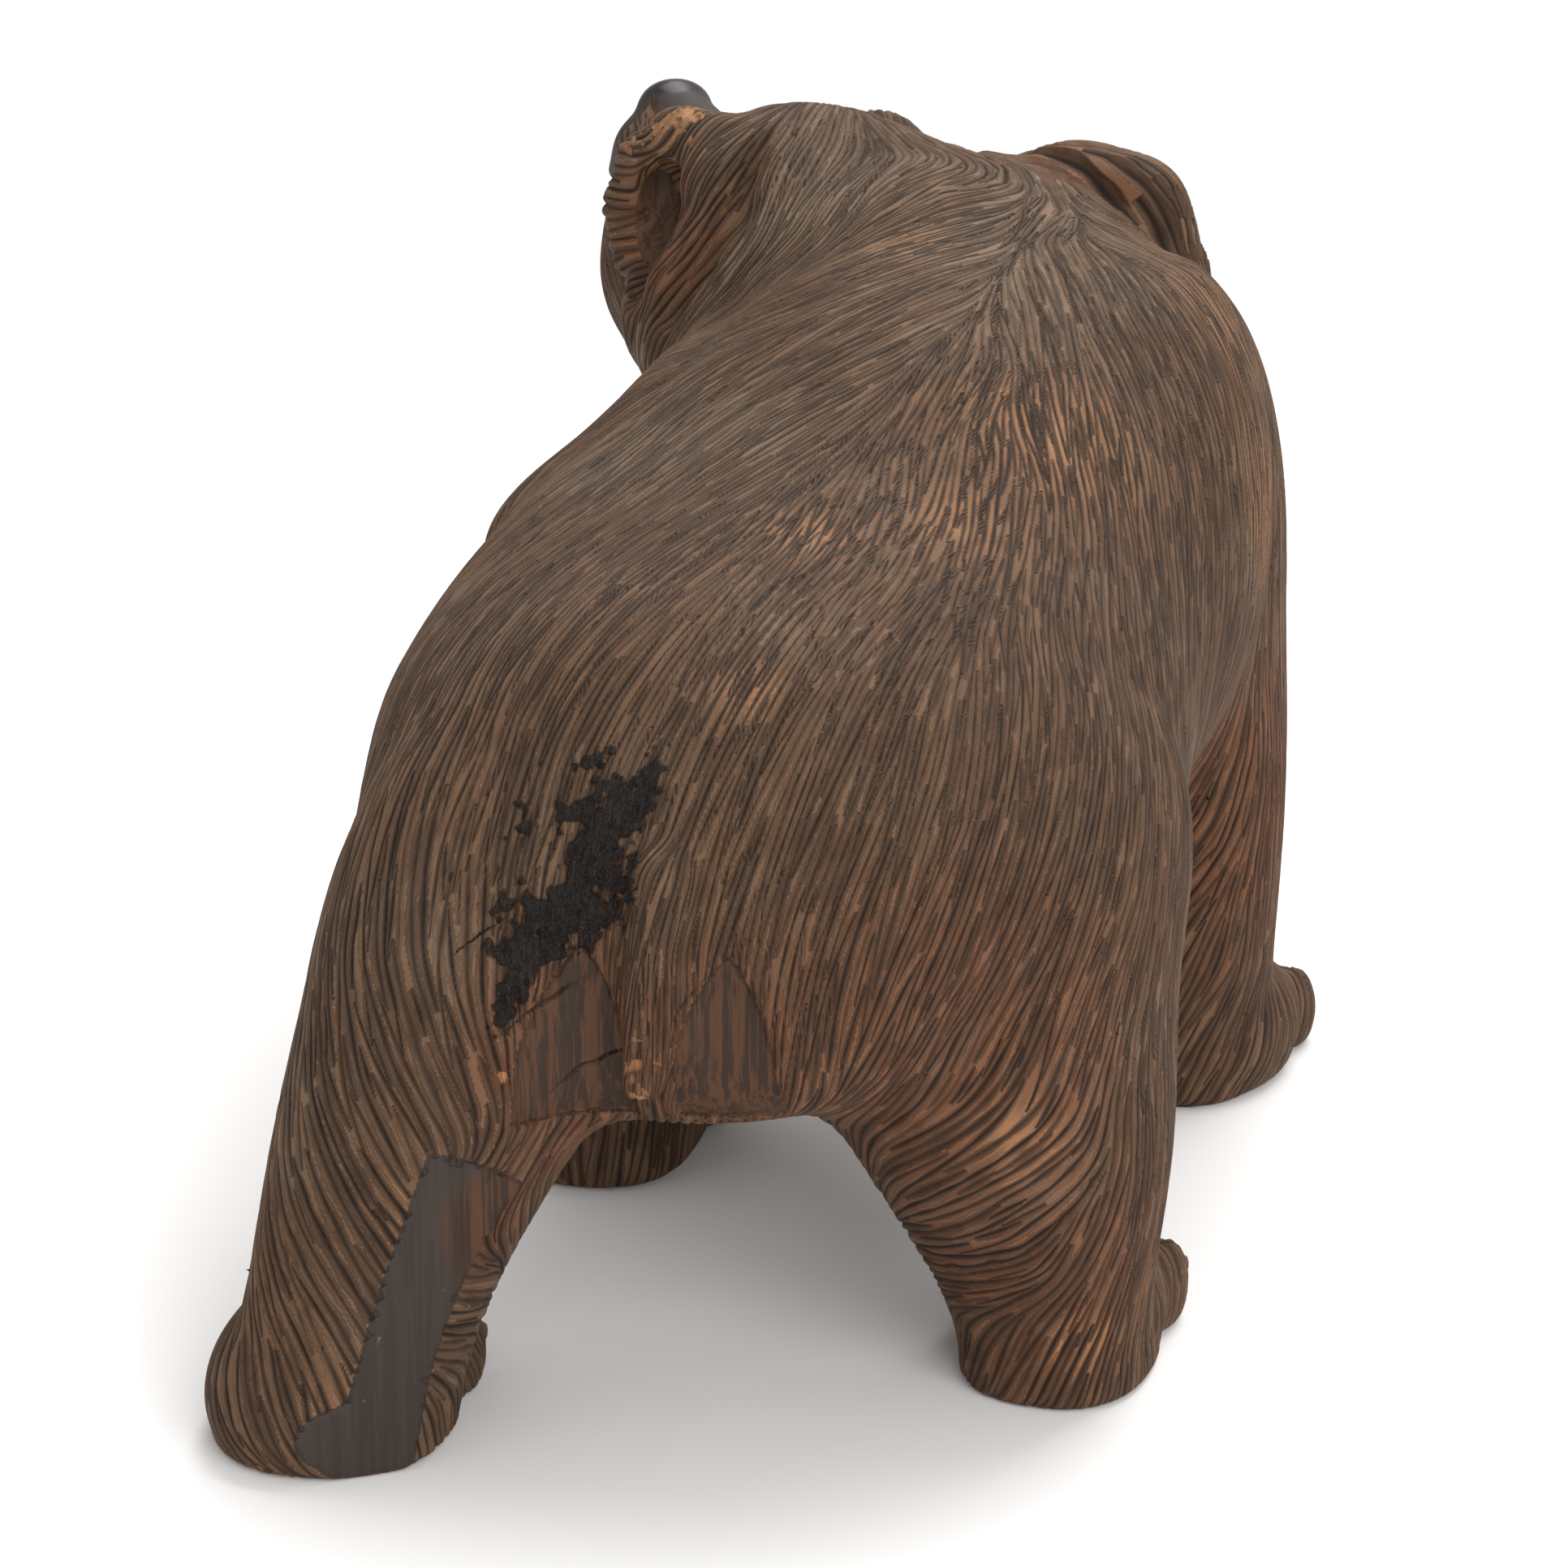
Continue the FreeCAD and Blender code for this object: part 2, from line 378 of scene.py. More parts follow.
def head_forms(field):
    """Brows, eye hollows, cheeks, the front of the muzzle, its bridge, nose pad, chin and nostrils."""
    for side in (1, -1):
        field.add(head_ball((14.0, side * 7.4, 8.4), (5.0, 3.2, 2.6)), 5)
        field.cut(head_ball((19.6, side * 12.6, 2.6), (4.6, 2.6, 2.4)), 4)
        field.cut(head_ball((27, side * 11.2, -2.0), (7.0, 2.8, 4.6)), 7)
    field.cut(Slab(on_head(29.4, 0, 0), FACING, 15 * PERCENT), 5)
    field.add(Rod(on_head(17, 0, 5.0), on_head(26.0, 0, 4.6), 4.6 * PERCENT, 4.0 * PERCENT), 6)
    field.add(head_ball((28.3, 0, 5.6), (2.9, 4.7, 3.4)), 1.5)
    field.cut(head_ball((28, 0, -13.5), (9.0, 12.0, 4.0)), 8)
    for side in (1, -1):
        field.cut(head_ball((31.0, side * 2.3, 4.8), (2.0, 1.0, 1.2)), 1)


MOUTH = ((31, 0, -3.4), (30, 4.0, -4.4), (27, 7.6, -4.2), (22, 9.5, -2.8), (18, 10.5, -1.4))


def lips(field):
    """A carved line from the nose down to the mouth, and the mouth back along both cheeks."""
    groove = field.on_surface(on_head(31, 0, 1.6), on_head(*MOUTH[0]))
    rods(field, groove, [1.1, 1.2], 0.8, cutting=True)
    for side in (1, -1):
        line = field.on_surface(*(on_head(ahead, side * left, above) for ahead, left, above in MOUTH))
        rods(field, line, [1.5, 1.6, 1.5, 1.4, 0.8], 0.8, cutting=True)


def eye_outward(name):
    """The way one eye looks."""
    side = 1 if name == "left" else -1
    return unit(FACING * 0.55 + HEAD_LEFT * (side * 0.8) + HEAD_UP * 0.25)


def eyelids(field, name):
    """An open seat over one bead with a rim of wood round it."""
    low, high = (np.array(corner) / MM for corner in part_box(name + "_eye_bead"))
    centre, radius = (low + high) / 2, (high - low)[2] / 2
    outward = eye_outward(name)
    field.cut(Ball(centre + outward * radius * 0.8, [radius * 1.1] * 3), 0.6)
    across = unit(np.cross(outward, HEAD_UP))
    upward = np.cross(across, outward)
    ring = []
    for i in range(13):
        turn = 2 * math.pi * i / 12
        ring.append(centre + outward * 0.3 * radius
                    + (across * math.cos(turn) * 1.5 + upward * math.sin(turn) * 1.2) * radius)
    rods(field, ring, [0.4 * radius] * len(ring), 1.2)


# The near ear's thick rim, from its front foot over the top to its rear foot: place and radius.
EAR_FOLD = ((56, -35.6, 88.5, 2.4), (57.5, -36.2, 94, 2.9), (58, -34.4, 99.2, 3.2), (58, -30, 102.4, 3.4),
            (57, -25.4, 102.2, 3.4), (54.5, -22.8, 97.8, 3.4), (51, -24.0, 92.4, 3.2), (48.5, -27.6, 88, 2.6))
FROM_BEHIND = heading(200, 20)


def ear_lobes(field):
    """Both ears as thick round lobes, cupped in front, and the crest that joins them."""
    field.add(Ball(place(75.5, -12.8, 94.2), np.array([5.0, 7.8, 9.0]) * PERCENT, LEVEL_FACING), 3)
    field.add(Ball(place(60.5, -17.0, 98.4), np.array([11, 14, 8.2]) * PERCENT, heading(40)), 8)
    field.cut(Slab(place(60, -34.5, 101.6), [0.56, 0, 0.83], 10 * PERCENT), 9)
    fold = [place(*spot[:3]) for spot in EAR_FOLD]
    rods(field, fold, np.array([spot[3] for spot in EAR_FOLD]) * PERCENT, 3)
    for side in (1, -1):
        cup = SKULL + (LEVEL_FACING * -1.0 + HEAD_LEFT * (side * 11.8) + UP * 15.0) * PERCENT
        field.cut(Ball(cup, np.array([4.6, 4.8, 4.6]) * PERCENT, LEVEL_FACING), 2)
    field.cut(Rod(place(70, 1, 100), place(82, -2, 86), 3.0 * PERCENT, 3.0 * PERCENT), 8)


def ear_hollow(field):
    """A crease behind the near ear, a fan-shaped hollow inside its fold and a drilled mark."""
    crease = field.on_surface(place(54, -18.2, 102), place(51, -18.8, 96),
                              place(47.5, -21, 90), place(46, -26, 85))
    rods(field, crease, [2.0, 3.2, 3.4, 3.0], 3.5, cutting=True)
    top, foot, mark = field.on_surface(place(57, -31.4, 96.5), place(50, -33, 86), place(54, -27.6, 96.8))
    broad, narrow, depth = 3.4 * PERCENT, 2.0 * PERCENT, 2.2
    hollow = Rod(top + FROM_BEHIND * (broad - depth), foot + FROM_BEHIND * (narrow - depth), broad, narrow)
    field.cut(hollow, 1.5)
    field.cut(Rod(mark - FROM_BEHIND * 3, mark + FROM_BEHIND * 3, 1.1, 1.1), 0.5)


def mane_lobe(field):
    """The fold of the mane that stands up on the right shoulder."""
    sizes = np.array([5.6, 11.9, 12.6]) * PERCENT
    field.add(Ball(place(68, 16.2, 90.4), sizes, heading(-12), power=3.0), 3)


TAIL_TOP, TAIL_TIP = place(-58.5, 12.4, 60), place(-63.4, 11.6, 41.0)
TAIL_FACETS = (PointedArch(place(-62, 4.2, 35.4), 5.4 * PERCENT, 18.0 * PERCENT),
               PointedArch(place(-60, 18.8, 35.6), 5.2 * PERCENT, 18.2 * PERCENT))
TAIL_FACET_DEPTH = 1.6
LEG_FACET = Slab(place(-72.6, -9.5, 14.6), [-0.62, 0.78, 0.01], 19 * PERCENT)
LEG_FACET_DEPTH = 1.3


def tail_and_facets(field):
    """The short tail between two flat chisel cuts, and the long flat down the left hind leg."""
    field.add(Rod(TAIL_TOP, TAIL_TIP, 3.4 * PERCENT, 2.0 * PERCENT), 4)
    for arch in TAIL_FACETS:
        field.sink(arch, TAIL_FACET_DEPTH)
    LEG_FACET.centre = field.on_surface(LEG_FACET.centre)[0] - LEG_FACET.outward * LEG_FACET_DEPTH
    field.cut(LEG_FACET, 0.3)


# The CAD's paws: heel forward, right, length, half width and height, in percent.
PAWS = ((-79, -21.5, 30, 12, 13), (-39, 42.3, 30, 10.2, 13), (-5, -21, 29, 11.5, 13), (39, 34, 29, 12, 13))
TOES = 5


def claws(field):
    """A short bent claw at the end of every toe."""
    for heel, right, length, half_width, height in PAWS:
        for i in range(TOES):
            spread = 2 * i / (TOES - 1) - 1
            toe = place(heel + length * (0.92 - 0.10 * spread ** 2), right + spread * half_width * 0.76, 0)
            knuckle = toe + np.array([0, -length * 0.13 * PERCENT, height * 0.42 * PERCENT])
            tip = toe + np.array([-spread * 0.6, -length * 0.24 * PERCENT, 1.6])
            middle = (knuckle + tip) / 2 + np.array([0, -1.2, 2.0])
            rods(field, [knuckle, middle, tip], [2.3, 1.9, 1.0], 0.8)


def sculpt():
    """The whole carving before its fur, cut off level with the ground."""
    field = rough_block()
    fill_out(field)
    ear_lobes(field)
    mane_lobe(field)
    field.blur(2)
    head_forms(field)
    claws(field)
    ear_hollow(field)
    field.blur(1)
    lips(field)
    for name in ("left", "right"):
        eyelids(field, name)
    tail_and_facets(field)
    heights = grid_axes(field.start, field.size, field.voxel)[2]
    field.values = np.maximum(field.values, -heights.astype(np.float32))
    return field


# ---------------------------------------------------------------- combing the fur

# Each comb is where it lies, which way the hair runs there (forward, right, up, in tenths) and how
# wide a gouge is, in millimetres. Hair between combs follows the nearest ones.
COMBS = (
    # shoulders: out of the whorl, and away on both sides of the parting behind it
    (44, 9, 101, -6, -8, -2, 0.9), (55, 25, 97, 6, 6, -5, 0.9), (57, 14, 101, -8, 4, 0, 0.9),
    (48, 26, 97, 0, 9, -4, 0.9), (38, 23, 97, -8, 6, -3, 0.9), (44, 17, 100, -9, -1, -2, 0.9),
    (32, 11, 98, -7, -7, -2, 0.9), (31, 22, 96, -8, 5, -3, 0.9), (22, 11, 96, -8, -6, -2, 0.9),
    (22, 22, 94, -8, 4, -4, 0.97), (11, 7, 92, -8, -6, -3, 0.97), (9, 17, 91, -10, 0, -2, 0.97),
    (28, 1, 97, -6, -7, -3, 0.9), (25, -12, 91, 0, -8, -6, 0.97), (38, 4, 99, -6, -8, -2, 0.9),
    (27, 33, 90, -6, 6, -6, 0.97), (31, 39, 85, -4, 4, -8, 0.97), (45, 37, 88, -4, 5, -8, 0.97),
    (38, 44, 74, -2, 1, -10, 1.04), (60, 28, 85, 2, 4, -9, 1.04),
    # neck and nape: down from the crest between the ears
    (61, -15, 102, -9, 1, -3, 0.86), (47, -6, 101, -9, -2, -3, 0.86), (47, -15, 99, -8, -1, -6, 0.86),
    (45, 3, 102, -8, -5, -2, 0.86), (37, -12, 92, -3, -6, -7, 0.9), (40, -22, 88, 0, -6, -8, 0.97),
    (62, -3, 103, -6, 5, -3, 0.86), (70, -8, 100, 0, 8, -5, 0.9),
    # back and flanks: rearward and down, leaning to the left
    (6, 0, 90, -7, -6, -4, 0.97), (-4, -1, 86, -8, -4, -4, 0.97), (-15, -6, 83, -9, -3, -2, 1.04),
    (7, 30, 86, -8, 4, -5, 0.97), (-5, 25, 85, -9, 2, -3, 0.97), (-17, 21, 84, -10, 1, -2, 0.97),
    (-37, 19, 81, -9, -1, -3, 0.97), (-35, -7, 80, -9, -2, -3, 1.04), (-29, 46, 69, -8, 2, -6, 1.04),
    (-15, -30, 62, -7, 0, -7, 1.37), (10, -34, 62, -5, 0, -9, 1.5), (5, 46, 66, -7, 1, -7, 1.15),
    (18, 44, 60, -6, 0, -8, 1.15), (-15, 49, 50, -6, 0, -8, 1.15),
    # rump
    (-49, 15, 77, -8, -2, -6, 1.04), (-51, 4, 76, -7, -3, -7, 1.04), (-46, -11, 75, -8, -2, -6, 1.15),
    (-55, -13, 67, -7, -1, -7, 1.15), (-54, 26, 67, -5, -2, -8, 1.04), (-46, 39, 66, -6, -1, -8, 1.04),
    (-59, 15, 59, -2, -2, -9, 1.15), (-58, 2, 61, -3, -1, -10, 1.15), (-50, 40, 51, -4, -3, -9, 1.15),
    (-55, 34, 44, -1, -3, -9, 1.37), (-59, 27, 44, 0, -1, -10, 1.15), (-62, 14, 48, 0, 0, -10, 0.97),
    (-63, -4, 54, -3, 1, -9, 1.5),
    # left hind leg: broad gouges that sweep round to the facet at the back
    (-62, -16, 55, -4, 1, -9, 1.63), (-65, -19, 44, -4, 3, -8, 1.81), (-67, -11, 46, -3, 4, -9, 1.85),
    (-70, -15, 34, -3, 6, -8, 1.98), (-68, -7, 39, -2, 5, -9, 1.98), (-73, -18, 22, -2, 6, -8, 1.98),
    (-71, -10, 27, -1, 7, -8, 2.03), (-74, -24, 13, -4, 5, -8, 1.81), (-76, -17, 10, -2, 5, -9, 1.71),
    (-60, -29, 30, -5, 1, -9, 1.71), (-50, -29, 45, -4, 0, -9, 1.63), (-67, -2, 30, -2, -5, -8, 1.63),
    (-66, -5, 16, 7, 5, -4, 1.81), (-58, -5, 22, 6, 0, -8, 1.71),
    # right hind leg: a band of broad level gouges across the back of the shank
    (-40, 49, 57, -6, -1, -8, 1.15), (-39, 52, 40, -4, -1, -9, 1.15), (-36, 54, 31, -1, 0, -10, 1.37),
    (-47, 36, 29, 1, -8, -6, 1.89), (-45, 47, 28, -1, -8, -6, 1.89), (-43, 39, 17, 2, -9, -4, 1.89),
    (-42, 51, 22, 0, -4, -9, 1.67), (-33, 53, 12, -1, -1, -10, 1.37), (-39, 46, 6, 0, -4, -9, 1.63),
    (-40, 29, 30, 5, -3, -8, 1.63), (-20, 52, 40, -2, 0, -10, 1.5), (-20, 24, 30, 2, 0, -10, 1.63),
    # fore legs and chest
    (40, 43, 40, -3, -2, -9, 1.63), (36, 38, 30, -2, -6, -8, 1.71), (49, 44, 43, 0, 0, -10, 1.37),
    (48, 44, 22, -1, 0, -10, 1.5), (44, 40, 10, -4, -3, -8, 1.63), (66, 32, 50, 0, 0, -10, 1.57),
    (66, 30, 20, 1, 0, -10, 1.57), (52, 20, 40, 0, 1, -10, 1.63), (76, 12, 62, 0, 0, -10, 1.57),
    (60, 10, 38, -6, 0, -8, 1.57), (23, -34, 66, -3, 0, -10, 1.5), (18, -34, 48, -2, 0, -10, 1.57),
    (12, -31, 20, 0, 0, -10, 1.57), (0, -22, 25, -3, 0, -10, 1.57), (28, -22, 30, 1, 0, -10, 1.57),
    (14, -8, 30, 0, 2, -10, 1.57), (46, -20, 60, 0, 0, -10, 1.5), (58, -10, 55, 0, 2, -10, 1.5),
    # belly
    (30, 10, 33, -10, 0, -1, 1.63), (0, 10, 31, -10, 0, 1, 1.63), (-30, 10, 31, -10, 0, 1, 1.63),
    # head: back from the muzzle over cheeks, forehead and throat
    (84, -14, 92, -7, 5, -3, 0.9), (80, -12, 80, -5, 4, -7, 0.97), (66, -42, 86, -7, 1, -7, 0.97),
    (72, -46, 78, -5, 2, -8, 0.97), (80, -30, 100, -7, 6, 1, 0.86), (74, -30, 66, -6, 5, -5, 1.04),
    (56, -34, 78, -4, 0, -9, 1.04), (86, -26, 70, -6, 5, -5, 0.97),
    # near ear: over its top, and level gouges across its outer flap
    (60, -27, 105, -7, -4, -6, 1.63), (53, -24, 100, -4, -5, -8, 1.5), (50, -23, 93, 1, -5, -9, 1.71),
    (58, -37, 97, 6, -7, 0, 1.94), (57, -38, 91, 5, -8, -2, 1.94), (55, -36, 86, 4, -7, -5, 1.81),
    (48, -27, 86, -2, -6, -8, 1.81), (53, -23, 97, -2, -7, -7, 1.37), (76, -13, 103, -6, 3, -4, 1.3),
    # mane lobe: broad gouges slanting down to its rim
    (63, 12, 101, -1, 8, -6, 4), (62, 18, 98, -1, 7.5, -6.5, 4), (62, 23, 95, -1, 7, -7, 4),
    (67, 12, 103, 0, 8, -6, 4),
)
COMB_PLACES = np.array([place(*comb[:3]) for comb in COMBS])
COMB_HAIR = np.array([unit([-comb[4] / 10, -comb[3] / 10, comb[5] / 10]) for comb in COMBS])
COMB_WIDTHS = np.array([comb[6] for comb in COMBS])

# Places that were left smooth: centre, half sizes in percent and the way the first one points.
SMOOTH = (
    (on_head(31, 0, -1), (9.0, 9.2, 10.0), FACING),
    (on_head(22, 0, 8), (9, 4.5, 6), FACING),
    (place(55.0, -31.6, 93.2), (8, 2.7, 5.8), heading(20)),
)


COMB_SOFTNESS = 9.0            # square millimetres added to the distance from a comb
COMB_FALLOFF = 2.2             # power of the squared distance at which its pull fades
NARROWEST = 0.8                # least gouge width


class Flow:
    """Which way the hair runs and how wide the gouges are, on a coarse grid round the body."""

    def __init__(self, field, voxel=3.0):
        low, high = BODY_LOW - MARGIN, BODY_HIGH + MARGIN
        self.voxel = voxel
        self.start = np.floor(low / voxel).astype(int)
        self.size = np.ceil(high / voxel).astype(int) - self.start + 1
        axes = grid_axes(self.start, self.size, voxel)
        points = np.stack(np.meshgrid(*axes, indexing="ij"), -1).reshape(-1, 3).astype(np.float32)
        near = np.abs(field.sample(points)) < 3 * voxel
        close = points[near]
        normals = field.slope(close)
        total = np.zeros((len(close), 4), np.float32)
        weights = np.zeros(len(close), np.float32)
        for spot, hair, width in zip(COMB_PLACES, COMB_HAIR, COMB_WIDTHS):
            distance = np.sum((close - spot) ** 2, axis=1) + COMB_SOFTNESS
            weight = distance ** -COMB_FALLOFF
            total[:, :3] += weight[:, None] * hair
            total[:, 3] += weight * width
            weights += weight
        total /= weights[:, None]
        total[:, :3] -= normals * np.sum(total[:, :3] * normals, axis=1, keepdims=True)
        total[:, :3] = unit_rows(total[:, :3])
        self.values = np.zeros((len(points), 8), np.float32)
        self.values[near] = np.column_stack([total, normals, np.ones(len(close))])
        self.values = self.values.reshape(*self.size, 8)

    def __call__(self, points):
        """Hair direction, gouge width and surface normal at points near the surface."""
        found = interpolate(self.values, self.start, self.voxel, points)
        found /= np.maximum(found[:, 7:], 1e-3)
        return unit_rows(found[:, :3]), np.maximum(found[:, 3], NARROWEST), unit_rows(found[:, 4:7])


STEP = 0.8                     # spacing of the points along a gouge
CELL = 0.40                    # grid in which gouges keep clear of one another
WIDEST_GAP = 10                # cells that a gouge keeps clear round it, at most
SPACING = 0.84                 # gap between gouges, as a share of their width
OVERRUN = 5                    # steps a gouge runs on between two neighbours
SHORTEST = 6                   # fewer steps than this are left out
LONGEST = 60                   # millimetres
RELATIVE_LENGTHS = (1.0, 0.5, 0.22)
LENGTH_CHANCES = (0.25, 0.35, 0.4)
ROUND_GOUGE = 1.5              # half width above which a gouge is round, not V-shaped


def on_facet(points):
    """Which points lie on a flat chisel cut, where gouges from outside end sharply."""
    inside = np.zeros(len(points), bool)
    for arch in TAIL_FACETS:
        inside |= arch.distance(points) < -0.3
    height = (points - LEG_FACET.centre) @ LEG_FACET.outward
    around = np.linalg.norm(points - LEG_FACET.centre, axis=1) < LEG_FACET.reach
    return inside | ((np.abs(height) < 0.35) & around)


def in_smooth_place(points):
    """Which points were never gouged."""
    inside = on_facet(points)
    for centre, sizes, along in SMOOTH:
        ball = Ball(centre, np.asarray(sizes) * PERCENT, along)
        inside |= np.linalg.norm((points - ball.centre) @ ball.axes / ball.sizes, axis=-1) < 1
    return inside


def trace(field, flow, seeds, half, lean):
    """Follows the hair both ways from each seed, leaning off it by a small angle."""
    paths = np.empty((len(seeds), 2 * half + 1, 3), np.float32)
    paths[:, half] = seeds
    for way in (1, -1):
        points = seeds.copy()
        for i in range(1, half + 1):
            hair, _, normal = flow(points)
            hair = hair + np.cross(normal, hair) * lean[:, None]
            points = points + hair * (way * STEP)
            points = points - normal * field.sample(points)[:, None]
            paths[:, half + way * i] = points
    return paths


def clear_run(unused, smooth, facet):
    """How many steps a gouge may go, a little past a neighbour, and whether it ends at a facet."""
    free = unused & ~smooth
    if free.all():
        return len(free), False
    stop = int(np.argmin(free))
    overrun = 0 if smooth[stop] else min(OVERRUN, len(free) - stop)
    return stop + overrun, bool(facet[stop])


class Occupancy:
    """The cells of a fine grid that are already taken by a gouge or its surroundings."""

    def __init__(self):
        self.low = BODY_LOW - MARGIN
        self.size = np.ceil((BODY_HIGH + MARGIN - self.low) / CELL).astype(np.int64)
        self.taken = np.zeros(int(np.prod(self.size)), bool)
        span = np.arange(-WIDEST_GAP, WIDEST_GAP + 1)
        offsets = np.stack(np.meshgrid(span, span, span, indexing="ij"), -1).reshape(-1, 3)
        self.reach = np.linalg.norm(offsets, axis=1) * CELL
        self.offsets = self.flat(offsets)
        self.around = {}

    def flat(self, cells):
        """The number of each cell in one long row."""
        return (cells[..., 0] * self.size[1] + cells[..., 1]) * self.size[2] + cells[..., 2]

    def cells(self, points):
        cells = np.floor((points - self.low) / CELL).astype(np.int64)
        return self.flat(np.clip(cells, WIDEST_GAP, self.size - WIDEST_GAP - 1))

    def take(self, cells, gap):
        """Marks every cell within gap millimetres of the given ones."""
        if gap not in self.around:
            self.around[gap] = self.offsets[self.reach <= gap]
        self.taken[(cells[:, None] + self.around[gap]).ravel()] = True


def lay_gouges(field, flow, seeds, rng):
    """Chooses gouges, longest first: each runs until it meets one that is already cut."""
    _, widths, _ = flow(seeds)
    lengths = rng.choice(RELATIVE_LENGTHS, len(seeds), p=LENGTH_CHANCES) * rng.uniform(26, 50, len(seeds))
    lengths = np.minimum(lengths * (0.45 + 0.45 * widths), LONGEST)
    order = np.argsort(-lengths)
    seeds, lengths, widths = seeds[order], lengths[order], widths[order]
    half = int(lengths.max() / STEP / 2)
    paths = trace(field, flow, seeds, half, rng.normal(0, 0.055, len(seeds)))
    smooth = in_smooth_place(paths.reshape(-1, 3)).reshape(paths.shape[:2])
    facet = on_facet(paths.reshape(-1, 3)).reshape(paths.shape[:2])
    smooth |= paths[..., 2] < 0.4
    occupancy = Occupancy()
    cells = occupancy.cells(paths)
    kept = []
    for i in range(len(seeds)):
        steps = int(lengths[i] / STEP / 2)
        span = slice(half - steps, half + steps + 1)
        unused = ~occupancy.taken[cells[i, span]]
        if smooth[i, half] or not unused[steps]:
            continue
        path = unused, smooth[i, span], facet[i, span]
        ahead, ahead_sharp = clear_run(*(values[steps:] for values in path))
        behind, behind_sharp = clear_run(*(values[steps::-1] for values in path))
        if ahead + behind < SHORTEST:
            continue
        first, last = half - behind + 1, half + ahead
        occupancy.take(cells[i, first:last], round(float(widths[i]) * SPACING * rng.uniform(0.85, 1.2), 1))
        kept.append((paths[i, first:last], widths[i], behind_sharp, ahead_sharp))
    return kept


def gouge_samples(kept, rng):
    """All gouges as flat arrays: place, tangent, half width, depth, distance along, gouge number."""
    rows = []
    for number, (path, width, blunt_start, blunt_end) in enumerate(kept):
        tangent = unit_rows(np.gradient(path, axis=0))
        n = len(path)
        along = np.arange(n) * STEP
        from_start = along + (99 if blunt_start else 0)
        from_end = along[::-1] + (99 if blunt_end else 0)
        taper = np.clip(np.minimum(from_start, from_end) / (4.0 * width) + 0.08, 0, 1)
        waver = 1 + 0.18 * np.sin(along * rng.uniform(0.25, 0.7) + rng.uniform(0, 6.3))
        half_width = width * 0.62 * (0.35 + 0.65 * np.sqrt(taper)) * waver * rng.uniform(0.85, 1.15)
        depth = width * 0.40 * np.sqrt(taper) * waver * rng.uniform(0.55, 1.3)
        rows.append(np.column_stack([path, tangent, half_width, depth, along, np.full(n, number)]))
    return np.concatenate(rows).astype(np.float32)


# Drying cracks, each from one place to another.
CRACKS = ((place(-63.5, 1.9, 37.4), place(-59.8, 18.1, 51.7)),
          (place(-65.8, -2.1, 44.9), place(-60.2, 4.1, 49.5)),
          (place(-64.8, -7.8, 51.7), place(-62.5, -2.4, 55.8)))


def crack_samples(field, rng):
    """The cracks as narrow deep cuts in the same form as the gouges."""
    rows = []
    for start, end in CRACKS:
        count = int(np.linalg.norm(end - start) / STEP)
        t = np.linspace(0, 1, count)[:, None]
        drift = np.cumsum(rng.normal(0, 0.12, (count, 3)), axis=0)
        path = field.settle(start + t * (end - start) + drift - t * drift[-1], 4)
        opening = np.sqrt(np.sin(np.pi * np.clip(t, 0.02, 0.98)))
        rows.append(np.column_stack([path, unit_rows(np.gradient(path, axis=0)), 0.3 + 0.2 * opening,
                                     1.2 * opening, t, t]))
    return np.concatenate(rows).astype(np.float32)


CUT_CELL = 2.0                 # grid in which vertices are looked up
BATCH = 40000                  # gouge points looked up at a time


def cut_gouges(points, samples):
    """How deep every vertex is cut, by which gouge, and where along and across it."""
    low = points.min(0) - 2 * CUT_CELL
    size = np.ceil((points.max(0) - low) / CUT_CELL).astype(np.int64) + 3

    def cell(places):
        cells = np.floor((places - low) / CUT_CELL).astype(np.int64)
        return (cells[:, 0] * size[1] + cells[:, 1]) * size[2] + cells[:, 2]

    keys = cell(points)
    order = np.argsort(keys, kind="stable")
    keys = keys[order]
    home = cell(samples[:, :3])
    depth = np.zeros(len(points), np.float32)
    facts = np.zeros((len(points), 3), np.float32)
    facts[:, 1] = 1
    for column in (x * size[1] + y for x in (-1, 0, 1) for y in (-1, 0, 1)):
        base = home + column * size[2]
        first = np.searchsorted(keys, base - 1, "left")
        counts = np.searchsorted(keys, base + 1, "right") - first
        for part in range(0, len(samples), BATCH):
            n = counts[part:part + BATCH]
            which = np.repeat(np.arange(part, part + len(n)), n)
            within = np.arange(len(which)) - np.repeat(np.cumsum(n) - n, n)
            vertex = order[np.repeat(first[part:part + BATCH], n) + within]
            s = samples[which]
            gap = points[vertex] - s[:, :3]
            along = np.sum(gap * s[:, 3:6], axis=1)
            across = np.sum(gap * gap, axis=1) - along * along
            aside = np.sqrt(np.maximum(across, 0)) / s[:, 6]
            good = (aside < 1) & (np.abs(along) < STEP * 0.75)
            vertex, aside, s, along = vertex[good], aside[good], s[good], along[good]
            cut = s[:, 7] * np.where(s[:, 6] > ROUND_GOUGE, 1 - aside ** 2, (1 - aside) ** 1.5)
            np.maximum.at(depth, vertex, cut)
            best = cut >= depth[vertex] - 1e-7
            facts[vertex[best]] = np.column_stack([s[:, 8] + along, aside, s[:, 9]])[best]
    return depth, facts


# ---------------------------------------------------------------- mesh

